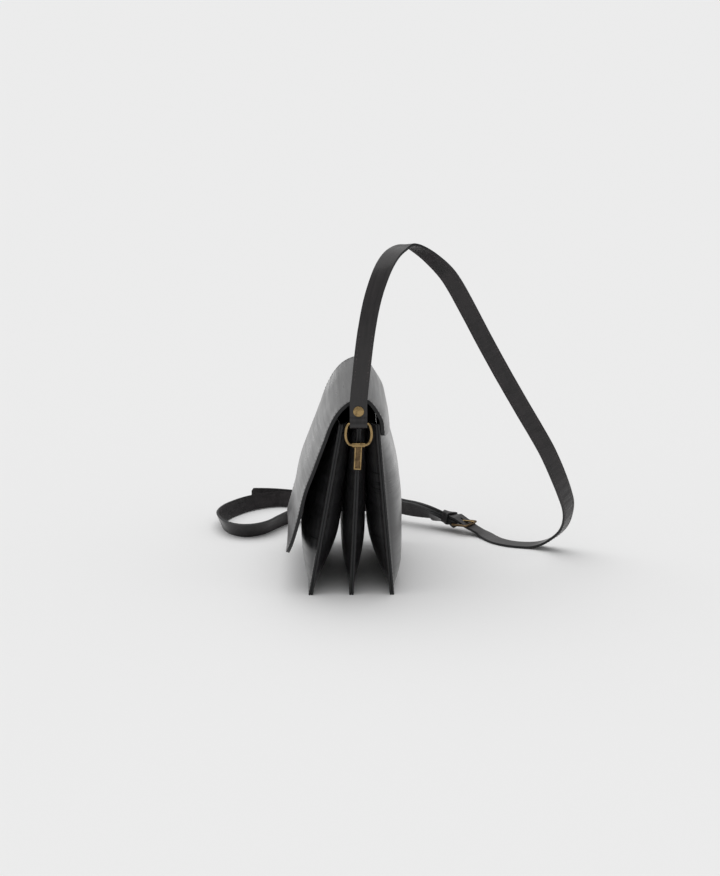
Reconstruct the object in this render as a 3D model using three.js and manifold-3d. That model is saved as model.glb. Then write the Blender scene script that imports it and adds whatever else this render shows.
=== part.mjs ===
// A black leather crossbody bag: three flat pockets sewn side by side under one flap, with a long
// buckled strap that arches up from the ring at one end and runs over the surface to the other ring.
// Millimetres. X runs along the bag, +Y points to its back, +Z up from the surface that it stands on.
import * as THREE from 'three';
import { mergeVertices } from 'three/addons/utils/BufferGeometryUtils.js';
import Module from 'manifold-3d';

const wasm = await Module();
wasm.setup();

// Pockets
const bagLength = 176;
const pocketHeight = 163;
const pocketLeather = 1.75;
const seamMargin = 4;
const footSpacing = 37.8;
const rimSpacing = 16.5;
const rimLean = 7.4;
const frontSwell = 16.2;
const backSwell = 15.1;
const innerSwell = 17.5;
const middleSwell = 11;
const middleShare = 0.37;

// Flap
const flapLeather = 3.2;
const flapRise = 25;
const flapTop = pocketHeight + flapRise;
const flapHem = 36;
const flapReach = 71.5;
const flapCrown = 6;
const hemCorner = 22;
const lapHeight = 12;
const lapCorner = 8;

// Clearances: touch is the room between pieces that rest on each other, wireFit the room round a wire,
// sewnGap the thread's place between a pocket's sewn edges, lapGap the room behind the flap's lap and
// buckleFit the room at each side of the strap in its buckle
const touch = 0.3;
const wireFit = 0.4;
const sewnGap = 0.36;
const lapGap = 0.75;
const buckleFit = 1.2;

// Strap
const strapWidth = 16;
const strapLeather = 2.4;
const archRise = 159.5;
const archHeight = pocketHeight + archRise;
const strapReach = 210;
const loopReach = 134;
const foldLength = 92;
const heelFoldLength = 26;
const tailGap = 0.8;

// End rings, their clips and the rivets
const ringWire = 2.6;
const ringWidth = 26.2;
const ringDrop = 19.6;
const farRingSwing = 28;
const barrelLength = 11.7;
const barrelDiameter = 4.6;
const barrelBelowRim = 17.7;
const barrelHeight = pocketHeight - barrelBelowRim;
const clipHeight = 24;
const clipThickness = 2.6;
const clipCheek = 1.05;
const clipGrip = 3.6;
const recessDepth = 0.7;
const recessWidth = 3.2;
const rivetHead = 10;
const rivetDome = 1.8;
const rivetPost = 3.2;
const rivetCap = 8.4;
const rivetCapThickness = 1;
const rivetDistance = 12;

// Buckle
const buckleWire = 2.2;
const buckleLength = 16.5;
const buckleAlong = -116;
const buckleAcross = 110;
const buckleHeight = 9.5;
const buckleTurn = 55.6;
const buckleRise = 1;
const approachLength = 14;
const approachLift = 1.6;
const prongWire = 1.8;
const prongOverhang = 3.5;
const keeperDistance = 10.5;
const keeperWidth = 9;
const keeperLeather = 1.6;
const keeperFit = 0.6;
const stackEnd = -0.2;

const halfLength = bagLength / 2;
const halfSeam = (pocketLeather + sewnGap) / 2;
const apexHeight = flapTop - flapLeather / 2;

// How far the panels stand off their seams at each height, as shares of their swell
const swellRows = [
  { height: 0, front: 0, back: 0, inner: 0 },
  { height: 0.025, front: 0, back: 0, inner: 0 },
  { height: 0.07, front: 0.25, back: 0.4, inner: 0.24 },
  { height: 0.13, front: 0.5, back: 0.65, inner: 0.5 },
  { height: 0.21, front: 0.75, back: 0.77, inner: 0.74 },
  { height: 0.31, front: 0.97, back: 0.87, inner: 0.94 },
  { height: 0.43, front: 1, back: 0.97, inner: 1 },
  { height: 0.56, front: 0.93, back: 1, inner: 1 },
  { height: 0.67, front: 0.76, back: 0.93, inner: 1 },
  { height: 0.78, front: 0.57, back: 0.73, inner: 1 },
  { height: 0.89, front: 0.4, back: 0.46, inner: 0.95 },
  { height: 1, front: 0.2, back: 0.3, inner: 0.9 },
];

// The flap from its apex to its front hem: shares of its reach, of its drop and of its crown
const flapFront = [
  { reach: 0.113, drop: 0.02, crown: 0.1 },
  { reach: 0.205, drop: 0.052, crown: 0.25 },
  { reach: 0.294, drop: 0.105, crown: 0.45 },
  { reach: 0.375, drop: 0.18, crown: 0.7 },
  { reach: 0.442, drop: 0.27, crown: 0.85 },
  { reach: 0.571, drop: 0.435, crown: 0.95 },
  { reach: 0.69, drop: 0.585, crown: 0.85 },
  { reach: 0.775, drop: 0.75, crown: 0.6 },
  { reach: 0.87, drop: 0.91, crown: 0.15 },
  { reach: 0.94, drop: 1, crown: -0.35 },
];

// The flap from the top of its lap on the back panel to its apex: shares of the way back and up
const flapBack = [
  { back: 0.96, rise: 0.17 },
  { back: 0.83, rise: 0.4 },
  { back: 0.66, rise: 0.65 },
  { back: 0.45, rise: 0.87 },
  { back: 0.22, rise: 0.975 },
  { back: 0, rise: 1 },
];

// The strap from the near ring over its arch and down to the buckle. Along is a share of the bag's
// length, across of the strap's reach, up of the arch's height. The last three columns are the
// direction that the grain side faces.
const archRoute = [
  { along: 0.523, across: 0.042, up: 0.645, faceX: 1, faceY: 0, faceZ: 0 },
  { along: 0.514, across: 0.055, up: 0.723, faceX: 1, faceY: 0, faceZ: 0.04 },
  { along: 0.498, across: 0.07, up: 0.791, faceX: 1, faceY: 0, faceZ: 0.1 },
  { along: 0.47, across: 0.091, up: 0.857, faceX: 1, faceY: 0.02, faceZ: 0.2 },
  { along: 0.431, across: 0.119, up: 0.912, faceX: 0.88, faceY: 0, faceZ: 0.45 },
  { along: 0.389, across: 0.147, up: 0.95, faceX: 0.7, faceY: -0.1, faceZ: 0.7 },
  { along: 0.347, across: 0.18, up: 0.977, faceX: 0.42, faceY: -0.1, faceZ: 0.9 },
  { along: 0.311, across: 0.218, up: 0.992, faceX: 0.1, faceY: -0.03, faceZ: 0.99 },
  { along: 0.281, across: 0.254, up: 0.997, faceX: -0.28, faceY: 0.05, faceZ: 0.95 },
  { along: 0.253, across: 0.302, up: 0.981, faceX: -0.56, faceY: 0.15, faceZ: 0.8 },
  { along: 0.224, across: 0.362, up: 0.949, faceX: -0.77, faceY: 0.2, faceZ: 0.58 },
  { along: 0.197, across: 0.431, up: 0.9, faceX: -0.93, faceY: 0.15, faceZ: 0.3 },
  { along: 0.17, across: 0.499, up: 0.824, faceX: -0.98, faceY: 0.05, faceZ: 0.05 },
  { along: 0.141, across: 0.582, up: 0.72, faceX: -0.98, faceY: 0, faceZ: -0.14 },
  { along: 0.117, across: 0.678, up: 0.604, faceX: -0.97, faceY: 0, faceZ: -0.2 },
  { along: 0.086, across: 0.783, up: 0.483, faceX: -0.97, faceY: 0, faceZ: -0.22 },
  { along: 0.048, across: 0.889, up: 0.361, faceX: -0.96, faceY: -0.1, faceZ: -0.2 },
  { along: -0.012, across: 0.952, up: 0.268, faceX: -0.93, faceY: -0.3, faceZ: -0.1 },
  { along: -0.075, across: 0.988, up: 0.206, faceX: -0.85, faceY: -0.5, faceZ: 0 },
  { along: -0.13, across: 1.009, up: 0.16, faceX: -0.74, faceY: -0.66, faceZ: 0.08 },
  { along: -0.187, across: 1.012, up: 0.114, faceX: -0.58, faceY: -0.78, faceZ: 0.2 },
  { along: -0.235, across: 0.998, up: 0.074, faceX: -0.42, faceY: -0.72, faceZ: 0.5 },
  { along: -0.276, across: 0.965, up: 0.042, faceX: -0.26, faceY: -0.5, faceZ: 0.83 },
  { along: -0.311, across: 0.919, up: 0.0165, faceX: -0.08, faceY: -0.2, faceZ: 0.97 },
  { along: -0.339, across: 0.866, up: 0.003, faceX: 0, faceY: -0.05, faceZ: 1 },
  { along: -0.358, across: 0.814, up: 0, faceX: 0, faceY: 0, faceZ: 1 },
  { along: -0.387, across: 0.753, up: 0, faceX: 0, faceY: 0, faceZ: 1 },
  { along: -0.455, across: 0.694, up: 0, faceX: 0, faceY: 0, faceZ: 1 },
];

// The buckle strap from the heel bar behind the bag, round the loop on the surface and up to the far
// ring. Across is a share of the strap's reach where positive and of the loop's where negative, lift
// is the height of the band's lower edge as a share of its width.
const loopRoute = [
  { along: -0.785, across: 0.336, lift: 0.5, faceX: -0.82, faceY: 0.45, faceZ: 0.42 },
  { along: -0.82, across: 0.284, lift: 0.52, faceX: -0.84, faceY: 0.5, faceZ: 0.36 },
  { along: -0.853, across: 0.245, lift: 0.53, faceX: -0.84, faceY: 0.5, faceZ: 0.34 },
  { along: -0.907, across: 0.173, lift: 0.458, faceX: -0.85, faceY: 0.48, faceZ: 0.26 },
  { along: -0.989, across: 0.08, lift: 0.294, faceX: -0.88, faceY: 0.44, faceZ: 0.14 },
  { along: -1.064, across: -0.049, lift: 0.14, faceX: -0.92, faceY: 0.38, faceZ: 0 },
  { along: -1.127, across: -0.218, lift: 0, faceX: -0.94, faceY: 0.3, faceZ: -0.14 },
  { along: -1.171, across: -0.376, lift: 0, faceX: -0.94, faceY: 0.17, faceZ: -0.26 },
  { along: -1.189, across: -0.491, lift: 0, faceX: -0.94, faceY: 0, faceZ: -0.32 },
  { along: -1.184, across: -0.576, lift: 0, faceX: -0.92, faceY: -0.2, faceZ: -0.33 },
  { along: -1.153, across: -0.667, lift: 0, faceX: -0.82, faceY: -0.47, faceZ: -0.33 },
  { along: -1.095, across: -0.769, lift: 0, faceX: -0.63, faceY: -0.7, faceZ: -0.33 },
  { along: -1.004, across: -0.868, lift: 0, faceX: -0.44, faceY: -0.83, faceZ: -0.34 },
  { along: -0.91, across: -0.935, lift: 0, faceX: -0.25, faceY: -0.91, faceZ: -0.34 },
  { along: -0.791, across: -0.966, lift: 0, faceX: 0.08, faceY: -0.93, faceZ: -0.36 },
  { along: -0.685, across: -0.941, lift: 0, faceX: 0.42, faceY: -0.82, faceZ: -0.4 },
  { along: -0.597, across: -0.88, lift: 0, faceX: 0.72, faceY: -0.54, faceZ: -0.45 },
  { along: -0.551, across: -0.783, lift: 0, faceX: 0.89, faceY: -0.08, faceZ: -0.46 },
  { along: -0.564, across: -0.694, lift: 0, faceX: 0.83, faceY: 0.36, faceZ: -0.45 },
  { along: -0.613, across: -0.615, lift: 0, faceX: 0.66, faceY: 0.63, faceZ: -0.42 },
  { along: -0.699, across: -0.546, lift: 0, faceX: 0.55, faceY: 0.76, faceZ: -0.38 },
  { along: -0.788, across: -0.473, lift: 0, faceX: 0.56, faceY: 0.76, faceZ: -0.35 },
  { along: -0.862, across: -0.375, lift: 0.104, faceX: 0.72, faceY: 0.62, faceZ: -0.34 },
  { along: -0.897, across: -0.264, lift: 0.402, faceX: 0.88, faceY: 0.35, faceZ: -0.32 },
];

// The rise from the surface to the far ring: shares of the way from the loop's end to the ring's bar
const riseRoute = [
  { along: -0.06, across: 0.25, up: 0.17, faceX: 0.94, faceY: 0.1, faceZ: -0.33 },
  { along: 0.05, across: 0.48, up: 0.38, faceX: 0.92, faceY: -0.02, faceZ: -0.38 },
  { along: 0.28, across: 0.7, up: 0.6, faceX: 0.9, faceY: -0.03, faceZ: -0.44 },
  { along: 0.58, across: 0.88, up: 0.8, faceX: 0.89, faceY: 0, faceZ: -0.46 },
];

// The free end of the hole strap where it leaves the buckle strap and lies straight on the surface
const tailRoute = [
  { along: -1.176, across: -0.286, lift: 0, faceX: -0.97, faceY: 0.25, faceZ: -0.05 },
  { along: -1.233, across: -0.455, lift: 0, faceX: -0.99, faceY: 0.12, faceZ: -0.1 },
  { along: -1.262, across: -0.594, lift: 0, faceX: -1, faceY: 0.03, faceZ: -0.12 },
  { along: -1.271, across: -0.744, lift: 0, faceX: -1, faceY: 0, faceZ: -0.12 },
];

const leather = { color: 0x17181a, roughness: 0.42, metalness: 0 };
const brass = { color: 0x9c8256, roughness: 0.38, metalness: 1 };

const group = new THREE.Group();

function addPiece(name, geometry, look) {
  const mesh = new THREE.Mesh(geometry, new THREE.MeshStandardMaterial(look));
  mesh.name = name;
  group.add(mesh);
  return mesh;
}

function geometryOf(points, index) {
  const geometry = new THREE.BufferGeometry();
  const numbers = points.flatMap((p) => [p.x, p.y, p.z]);
  geometry.setAttribute('position', new THREE.Float32BufferAttribute(numbers, 3));
  geometry.setIndex(index);
  return geometry;
}

function solidOf(geometry) {
  const bare = geometry.clone();
  bare.deleteAttribute('normal');
  bare.deleteAttribute('uv');
  const merged = mergeVertices(bare, 1e-4);
  const mesh = {
    numProp: 3,
    vertProperties: merged.attributes.position.array,
    triVerts: Uint32Array.from(merged.index.array),
  };
  return new wasm.Manifold(new wasm.Mesh(mesh));
}

function geometryOfSolid(solid) {
  const mesh = solid.getMesh();
  const geometry = new THREE.BufferGeometry();
  geometry.setAttribute('position', new THREE.BufferAttribute(new Float32Array(mesh.vertProperties), 3));
  geometry.setIndex(new THREE.BufferAttribute(new Uint32Array(mesh.triVerts), 1));
  return geometry;
}

function cut(geometry, tools) {
  let solid = solidOf(geometry);
  for (const tool of tools) {
    solid = solid.subtract(solidOf(tool));
  }
  return geometryOfSolid(solid);
}

function smoothstep(value, from, to) {
  return THREE.MathUtils.smoothstep(value, from, to);
}

// A wall between two grids of points with the same rows and columns, closed round its border
function wall(front, back) {
  const rows = front.length;
  const columns = front[0].length;
  const points = [...front.flat(), ...back.flat()];
  const index = [];
  const at = (side, i, j) => side * rows * columns + i * columns + j;
  const quad = (a, b, c, d) => index.push(a, b, c, a, c, d);
  for (let i = 0; i < rows - 1; i += 1) {
    for (let j = 0; j < columns - 1; j += 1) {
      quad(at(0, i, j), at(0, i, j + 1), at(0, i + 1, j + 1), at(0, i + 1, j));
      quad(at(1, i, j), at(1, i + 1, j), at(1, i + 1, j + 1), at(1, i, j + 1));
    }
    quad(at(0, i, 0), at(0, i + 1, 0), at(1, i + 1, 0), at(1, i, 0));
    quad(at(0, i + 1, columns - 1), at(0, i, columns - 1), at(1, i, columns - 1), at(1, i + 1, columns - 1));
  }
  for (let j = 0; j < columns - 1; j += 1) {
    quad(at(0, 0, j + 1), at(0, 0, j), at(1, 0, j), at(1, 0, j + 1));
    quad(at(0, rows - 1, j), at(0, rows - 1, j + 1), at(1, rows - 1, j + 1), at(1, rows - 1, j));
  }
  return geometryOf(points, index);
}

// Sections of equal point count joined one to the next, closed by flat ends or back onto the first
function loft(sections, closed = false) {
  const count = sections[0].length;
  const index = [];
  const last = closed ? sections.length : sections.length - 1;
  for (let i = 0; i < last; i += 1) {
    const next = (i + 1) % sections.length;
    for (let j = 0; j < count; j += 1) {
      const k = (j + 1) % count;
      index.push(i * count + j, i * count + k, next * count + k);
      index.push(i * count + j, next * count + k, next * count + j);
    }
  }
  if (!closed) {
    const end = (sections.length - 1) * count;
    for (let j = 1; j < count - 1; j += 1) {
      index.push(0, j + 1, j);
      index.push(end, end + j, end + j + 1);
    }
  }
  return geometryOf(sections.flat(), index);
}

function rowValue(rows, key, place, column) {
  const points = rows.map((row) => new THREE.Vector3(row[key], row[column], 0));
  const curve = new THREE.CatmullRomCurve3(points, false, 'catmullrom', 0.5);
  let segment = rows.length - 2;
  for (let i = 0; i < rows.length - 1; i += 1) {
    if (place <= rows[i + 1][key]) {
      segment = i;
      break;
    }
  }
  const span = rows[segment + 1][key] - rows[segment][key];
  const share = THREE.MathUtils.clamp((place - rows[segment][key]) / span, 0, 1);
  return curve.getPoint((segment + share) / (rows.length - 1)).y;
}

// Pockets: each seam line leans back and the three lines close up towards the rim
function seamSpacing(z) {
  return THREE.MathUtils.lerp(footSpacing, rimSpacing, z / pocketHeight);
}

function seamLine(pocket, z) {
  return pocket * seamSpacing(z) + (rimLean * z) / pocketHeight;
}

function fullnessAlong(x) {
  const share = Math.min(1, Math.abs(x) / (halfLength - seamMargin));
  return (1 - share ** 4) ** 0.8;
}

// The softer of two limits, always a little less than either
function softLimit(value, limit) {
  return value <= 0 ? 0 : (value ** -8 + limit ** -8) ** (-1 / 8);
}

function swellOf(pocket, side, x, z) {
  const facesPocket = Math.abs(pocket + side) < 2;
  if (!facesPocket) {
    const swell = side < 0 ? frontSwell : backSwell;
    const column = side < 0 ? 'front' : 'back';
    return swell * fullnessAlong(x) * rowValue(swellRows, 'height', z / pocketHeight, column);
  }
  const share = pocket === 0 ? middleShare : 1 - middleShare;
  const room = share * seamSpacing(z) - halfSeam - (pocketLeather + touch) / 2;
  const swell = pocket === 0 ? middleSwell : innerSwell;
  const fullness = fullnessAlong(x) * rowValue(swellRows, 'height', z / pocketHeight, 'inner');
  return softLimit(swell * fullness, room);
}

function panelMiddle(pocket, side, x, z) {
  return seamLine(pocket, z) + side * (halfSeam + swellOf(pocket, side, x, z));
}

// The pocket leather's outer face, seen across the bag
function panelFace(pocket, side, x, z) {
  const slope = (panelMiddle(pocket, side, x, z + 1) - panelMiddle(pocket, side, x, z - 1)) / 2;
  return panelMiddle(pocket, side, x, z) + (side * pocketLeather * Math.hypot(1, slope)) / 2;
}

function panelStations() {
  const full = halfLength - seamMargin;
  const shares = [1, 0.955, 0.87, 0.74, 0.55, 0.3];
  const left = [-halfLength, ...shares.map((share) => -share * full)];
  return [...left, 0, ...left.map((x) => -x).reverse()];
}

function pocketPanel(pocket, side) {
  const stations = panelStations();
  const heights = swellRows.map((row) => row.height * pocketHeight);
  const faces = [1, -1].map((face) => heights.map((z, row) => stations.map((x) => {
    const y = panelMiddle(pocket, side, x, z);
    const step = 0.5;
    const stepX = panelMiddle(pocket, side, x + step, z) - panelMiddle(pocket, side, x - step, z);
    const alongX = stepX / (2 * step);
    const stepZ = panelMiddle(pocket, side, x, z + step) - panelMiddle(pocket, side, x, z - step);
    const alongZ = stepZ / (2 * step);
    const border = row === 0 || row === heights.length - 1;
    const turnX = Math.abs(x) === halfLength ? 0 : -alongX;
    const normal = new THREE.Vector3(turnX, 1, border ? 0 : -alongZ).normalize();
    return new THREE.Vector3(x, y, z).addScaledVector(normal, (face * pocketLeather) / 2);
  })));
  return wall(faces[1], faces[0]);
}

// Flap: one curve over the bag for each place along it
function flapCurve(x) {
  const share = x / halfLength;
  const lapPoint = (z) => new THREE.Vector3(x, panelFace(1, 1, x, z) + lapGap + flapLeather / 2, z);
  const lapFoot = pocketHeight - lapHeight;
  const points = [0, 0.33, 0.67, 1].map((part) => lapPoint(lapFoot + part * lapHeight));
  const lapTop = points[points.length - 1];
  for (const row of flapBack) {
    const y = THREE.MathUtils.lerp(rimLean, lapTop.y, row.back);
    points.push(new THREE.Vector3(x, y, THREE.MathUtils.lerp(pocketHeight, apexHeight, row.rise)));
  }
  for (const row of flapFront) {
    const z = THREE.MathUtils.lerp(apexHeight, flapHem, row.drop);
    const free = rimLean - row.reach * flapReach - row.crown * flapCrown * (1 - share * share);
    const over = z < pocketHeight ? panelFace(-1, -1, x, z) - touch - flapLeather * 0.55 : free;
    points.push(new THREE.Vector3(x, Math.min(free, over), z));
  }
  return new THREE.CatmullRomCurve3(points, false, 'centripetal');
}

// Half the flap's length at a distance from a border with round corners
function roundedHalf(distance, radius) {
  const depth = radius - Math.min(distance, radius);
  return halfLength - radius + Math.sqrt(radius * radius - depth * depth);
}

function flapRows() {
  const segments = 3 + flapBack.length + flapFront.length;
  const hem = flapCurve(0).getPoint(1);
  const lap = flapCurve(0).getPoint(0);
  const cornerSteps = [0, 0.07, 0.25, 0.55, 1];
  const rows = [];
  for (let i = 0; i <= segments * 4; i += 1) {
    rows.push(i / (segments * 4));
  }
  const curve = flapCurve(0);
  const distances = rows.map((t) => {
    const point = curve.getPoint(t);
    return { t, toLap: point.z - lap.z, toHem: point.distanceTo(hem) };
  });
  const lapRows = cornerSteps.map((step) => {
    const wanted = step * lapCorner;
    return distances.find((row) => row.toLap >= wanted).t;
  });
  const hemRows = cornerSteps.map((step) => {
    const wanted = step * hemCorner;
    return distances.findLast((row) => row.toHem >= wanted).t;
  });
  const middleRows = [];
  const from = lapRows[lapRows.length - 1];
  const to = hemRows[hemRows.length - 1];
  const steps = 20;
  for (let i = 1; i < steps; i += 1) {
    middleRows.push(THREE.MathUtils.lerp(from, to, i / steps));
  }
  const width = (t) => {
    const point = curve.getPoint(t);
    const toLap = roundedHalf(Math.max(0, point.z - lap.z), lapCorner);
    const toHem = roundedHalf(point.distanceTo(hem), hemCorner);
    return point.y < rimLean ? toHem : toLap;
  };
  return [...lapRows, ...middleRows, ...hemRows.reverse()].map((t) => ({ t, half: width(t) }));
}

function flapPoint(t, x) {
  return flapCurve(x).getPoint(t);
}

function flap() {
  const shares = [1, 0.93, 0.8, 0.6, 0.35, 0.12];
  const columns = [...shares.map((share) => -share), ...shares.slice().reverse()];
  const faces = [[], []];
  for (const row of flapRows()) {
    const lines = [[], []];
    for (const share of columns) {
      const x = share * row.half;
      const before = flapPoint(Math.max(0, row.t - 0.004), x);
      const after = flapPoint(Math.min(1, row.t + 0.004), x);
      const down = after.sub(before);
      const along = flapPoint(row.t, x + 0.5).sub(flapPoint(row.t, x - 0.5));
      const normal = down.cross(along).normalize();
      const middle = flapPoint(row.t, x);
      lines[0].push(middle.clone().addScaledVector(normal, flapLeather / 2));
      lines[1].push(middle.clone().addScaledVector(normal, -flapLeather / 2));
    }
    faces[0].push(lines[0]);
    faces[1].push(lines[1]);
  }
  return wall(faces[1], faces[0]);
}

// A flat band through stations that give its middle, its direction and the way its grain side faces
function band(stations, width, thickness) {
  const sections = stations.map(({ point, tangent, face }) => {
    const normal = face.clone().addScaledVector(tangent, -face.dot(tangent)).normalize();
    const across = tangent.clone().cross(normal);
    return [[1, 1], [1, -1], [-1, -1], [-1, 1]].map(([side, layer]) => point.clone()
      .addScaledVector(across, (side * width) / 2)
      .addScaledVector(normal, (layer * thickness) / 2));
  });
  return loft(sections);
}

function stationsAlong(points, faces, stepsEach, fineSpans = 0) {
  const path = new THREE.CatmullRomCurve3(points, false, 'centripetal');
  const facing = new THREE.CatmullRomCurve3(faces, false, 'catmullrom', 0.5);
  const spans = points.length - 1;
  const stations = [];
  const addStation = (t) => stations.push({
    point: path.getPoint(t),
    tangent: path.getTangent(t).normalize(),
    face: facing.getPoint(t).normalize(),
  });
  for (let span = 0; span < spans; span += 1) {
    const steps = span < fineSpans ? 3 * stepsEach : stepsEach;
    for (let i = 0; i < steps; i += 1) {
      addStation((span + i / steps) / spans);
    }
  }
  addStation(1);
  return stations;
}

// Stations through points that carry on from a stretch before them or lead into one after them
function stationsBetween(points, faces, before, after, stepsEach) {
  const joined = { points: [...points], faces: [...faces] };
  if (before) {
    for (const station of [before[before.length - 1], before[before.length - 4]]) {
      joined.points.unshift(station.point);
      joined.faces.unshift(station.face);
    }
  }
  if (after) {
    for (const station of [after[0], after[3]]) {
      joined.points.push(station.point);
      joined.faces.push(station.face);
    }
  }
  const spans = joined.points.length - 1;
  const stations = stationsAlong(joined.points, joined.faces, stepsEach);
  const from = before ? stepsEach + 1 : 0;
  const to = after ? (spans - 1) * stepsEach : stations.length;
  return stations.slice(from, to);
}

function squareUp(station) {
  const { tangent } = station;
  const face = station.face.clone().addScaledVector(tangent, -station.face.dot(tangent)).normalize();
  return { ...station, face };
}

// How far the two layers of a fold are apart at a distance from the bar
function foldSpread(distance, radius) {
  return THREE.MathUtils.lerp(2 * radius, strapLeather + touch, smoothstep(distance, 0.5, 6.5));
}

// The layer folded back round a bar: from its free end, along the main layer and half round the bar
function foldedLayer(main, bar, away, grain, radius, length) {
  const stations = [];
  let travelled = 0;
  for (let i = 0; i < main.length && travelled < length; i += 1) {
    if (i > 0) {
      travelled += main[i].point.distanceTo(main[i - 1].point);
    }
    const distance = main[i].point.clone().sub(bar).dot(away);
    const station = travelled < 8 ? main[i] : squareUp(main[i]);
    stations.unshift({
      point: station.point.clone().addScaledVector(station.face, -foldSpread(distance, radius)),
      tangent: station.tangent.clone().negate(),
      face: station.face.clone().negate(),
    });
  }
  const turns = 8;
  for (let i = 1; i < turns; i += 1) {
    const angle = (Math.PI * i) / turns;
    const outward = grain.clone().multiplyScalar(-Math.cos(angle)).addScaledVector(away, -Math.sin(angle));
    const tangent = grain.clone().multiplyScalar(Math.sin(angle)).addScaledVector(away, -Math.cos(angle));
    stations.push({ point: bar.clone().addScaledVector(outward, radius), tangent, face: outward });
  }
  return stations;
}

function vectorOf(row) {
  return new THREE.Vector3(row.faceX, row.faceY, row.faceZ);
}

// A place on the surface's plan with the band's lower edge the row's lift above the surface
function routePoint(row) {
  const reach = row.across > 0 ? strapReach : loopReach;
  const lean = Math.abs(vectorOf(row).normalize().z);
  const resting = (strapWidth * Math.sqrt(1 - lean * lean) + strapLeather * lean) / 2;
  const height = resting + touch / 2 + (row.lift ?? 0) * strapWidth;
  return new THREE.Vector3(row.along * bagLength, row.across * reach, height);
}

// Ring at one end: its barrel sits on the end seam and its bar holds the strap's fold
const ringOut = touch + strapLeather + 2 * wireFit + ringWire / 2 + strapLeather * 0.08;
const foldRadius = ringWire / 2 + wireFit + strapLeather / 2;

function ringAt(end) {
  const angle = end > 0 ? 0 : THREE.MathUtils.degToRad(180 - farRingSwing);
  const barrel = new THREE.Vector3(end * (halfLength + ringOut), seamLine(0, barrelHeight), barrelHeight);
  const away = new THREE.Vector3(end * Math.sin(angle), 0, Math.cos(angle));
  const grain = new THREE.Vector3(end * Math.cos(angle), 0, -Math.sin(angle));
  return { barrel, away, grain, angle, bar: barrel.clone().addScaledVector(away, ringDrop) };
}

function ringOutline() {
  const half = ringWidth / 2 - ringWire / 2;
  const topHalf = strapWidth / 2 + wireFit;
  const bottomHalf = barrelLength / 2 + wireFit;
  const middle = ringDrop / 2;
  const points = [];
  const quarter = (from, flat, sign) => {
    for (let i = 0; i <= 4; i += 1) {
      const angle = from + (Math.PI / 2) * (i / 4);
      const c = Math.cos(angle);
      const s = Math.sin(angle);
      points.push(new THREE.Vector2(Math.sign(sign) * flat + (half - flat) * c, middle + middle * s));
    }
  };
  quarter(0, topHalf, 1);
  quarter(Math.PI / 2, topHalf, -1);
  quarter(Math.PI, bottomHalf, -1);
  quarter(Math.PI * 1.5, bottomHalf, 1);
  return points;
}

// Round wire bent round a flat closed outline in the plane of Y and Z
function bentWire(outline, diameter, sides) {
  const sections = outline.map((point, i) => {
    const before = outline[(i + outline.length - 1) % outline.length];
    const after = outline[(i + 1) % outline.length];
    const along = after.clone().sub(before).normalize();
    const out = new THREE.Vector2(along.y, -along.x);
    const section = [];
    for (let k = 0; k < sides; k += 1) {
      const angle = (2 * Math.PI * k) / sides;
      const reach = (Math.cos(angle) * diameter) / 2;
      const x = (-Math.sin(angle) * diameter) / 2;
      section.push(new THREE.Vector3(x, point.x + out.x * reach, point.y + out.y * reach));
    }
    return section;
  });
  return loft(sections, true);
}

function endRing(end) {
  const { barrel, angle } = ringAt(end);
  const geometry = bentWire(ringOutline(), ringWire, 8);
  geometry.applyMatrix4(new THREE.Matrix4().makeRotationY(end * angle));
  geometry.translate(barrel.x, barrel.y, barrel.z);
  return geometry;
}

function boxGeometry(x, y, z, centre) {
  const geometry = new THREE.BoxGeometry(x, y, z);
  geometry.translate(centre[0], centre[1], centre[2]);
  return geometry;
}

function rodAlongY(diameter, length, sides, centre) {
  const geometry = new THREE.CylinderGeometry(diameter / 2, diameter / 2, length, sides);
  geometry.translate(centre[0], centre[1], centre[2]);
  return geometry;
}

// Clip: a channel over the middle pocket's end seam with the ring's barrel at its top.
// It is made at the origin, with the barrel's axis on Y and the bag towards -X, then put in place.
function endClip(end) {
  const slot = 2 * pocketLeather + sewnGap + 2 * touch + 0.1;
  const width = slot + 2 * clipCheek;
  const face = touch - ringOut;
  const length = clipThickness + clipGrip;
  const bodyMiddle = [face + clipThickness - length / 2, 0, -clipHeight / 2];
  const body = boxGeometry(length, width, clipHeight, bodyMiddle);
  const barrel = rodAlongY(barrelDiameter, barrelLength, 16, [0, 0, 0]);
  const slotBox = boxGeometry(length, slot, clipHeight * 3, [face - length / 2, 0, 0]);
  const bore = rodAlongY(ringWire + 2 * wireFit, barrelLength * 2, 16, [0, 0, 0]);
  const recessHeight = clipHeight - barrelDiameter / 2 - 2 * clipCheek;
  const recessMiddle = -barrelDiameter / 2 - recessHeight / 2 - clipCheek / 2;
  const recessPlace = [face + clipThickness, 0, recessMiddle];
  const recess = boxGeometry(recessDepth * 2, recessWidth, recessHeight, recessPlace);
  for (const geometry of [body, slotBox, recess]) {
    geometry.rotateX(-end * Math.atan(rimLean / pocketHeight));
  }
  const channel = solidOf(body).subtract(solidOf(slotBox)).subtract(solidOf(recess));
  const geometry = geometryOfSolid(channel.add(solidOf(barrel)).subtract(solidOf(bore)));
  if (end < 0) {
    geometry.rotateZ(Math.PI);
  }
  const { barrel: place } = ringAt(end);
  geometry.translate(place.x, place.y, place.z);
  return geometry;
}

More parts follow.
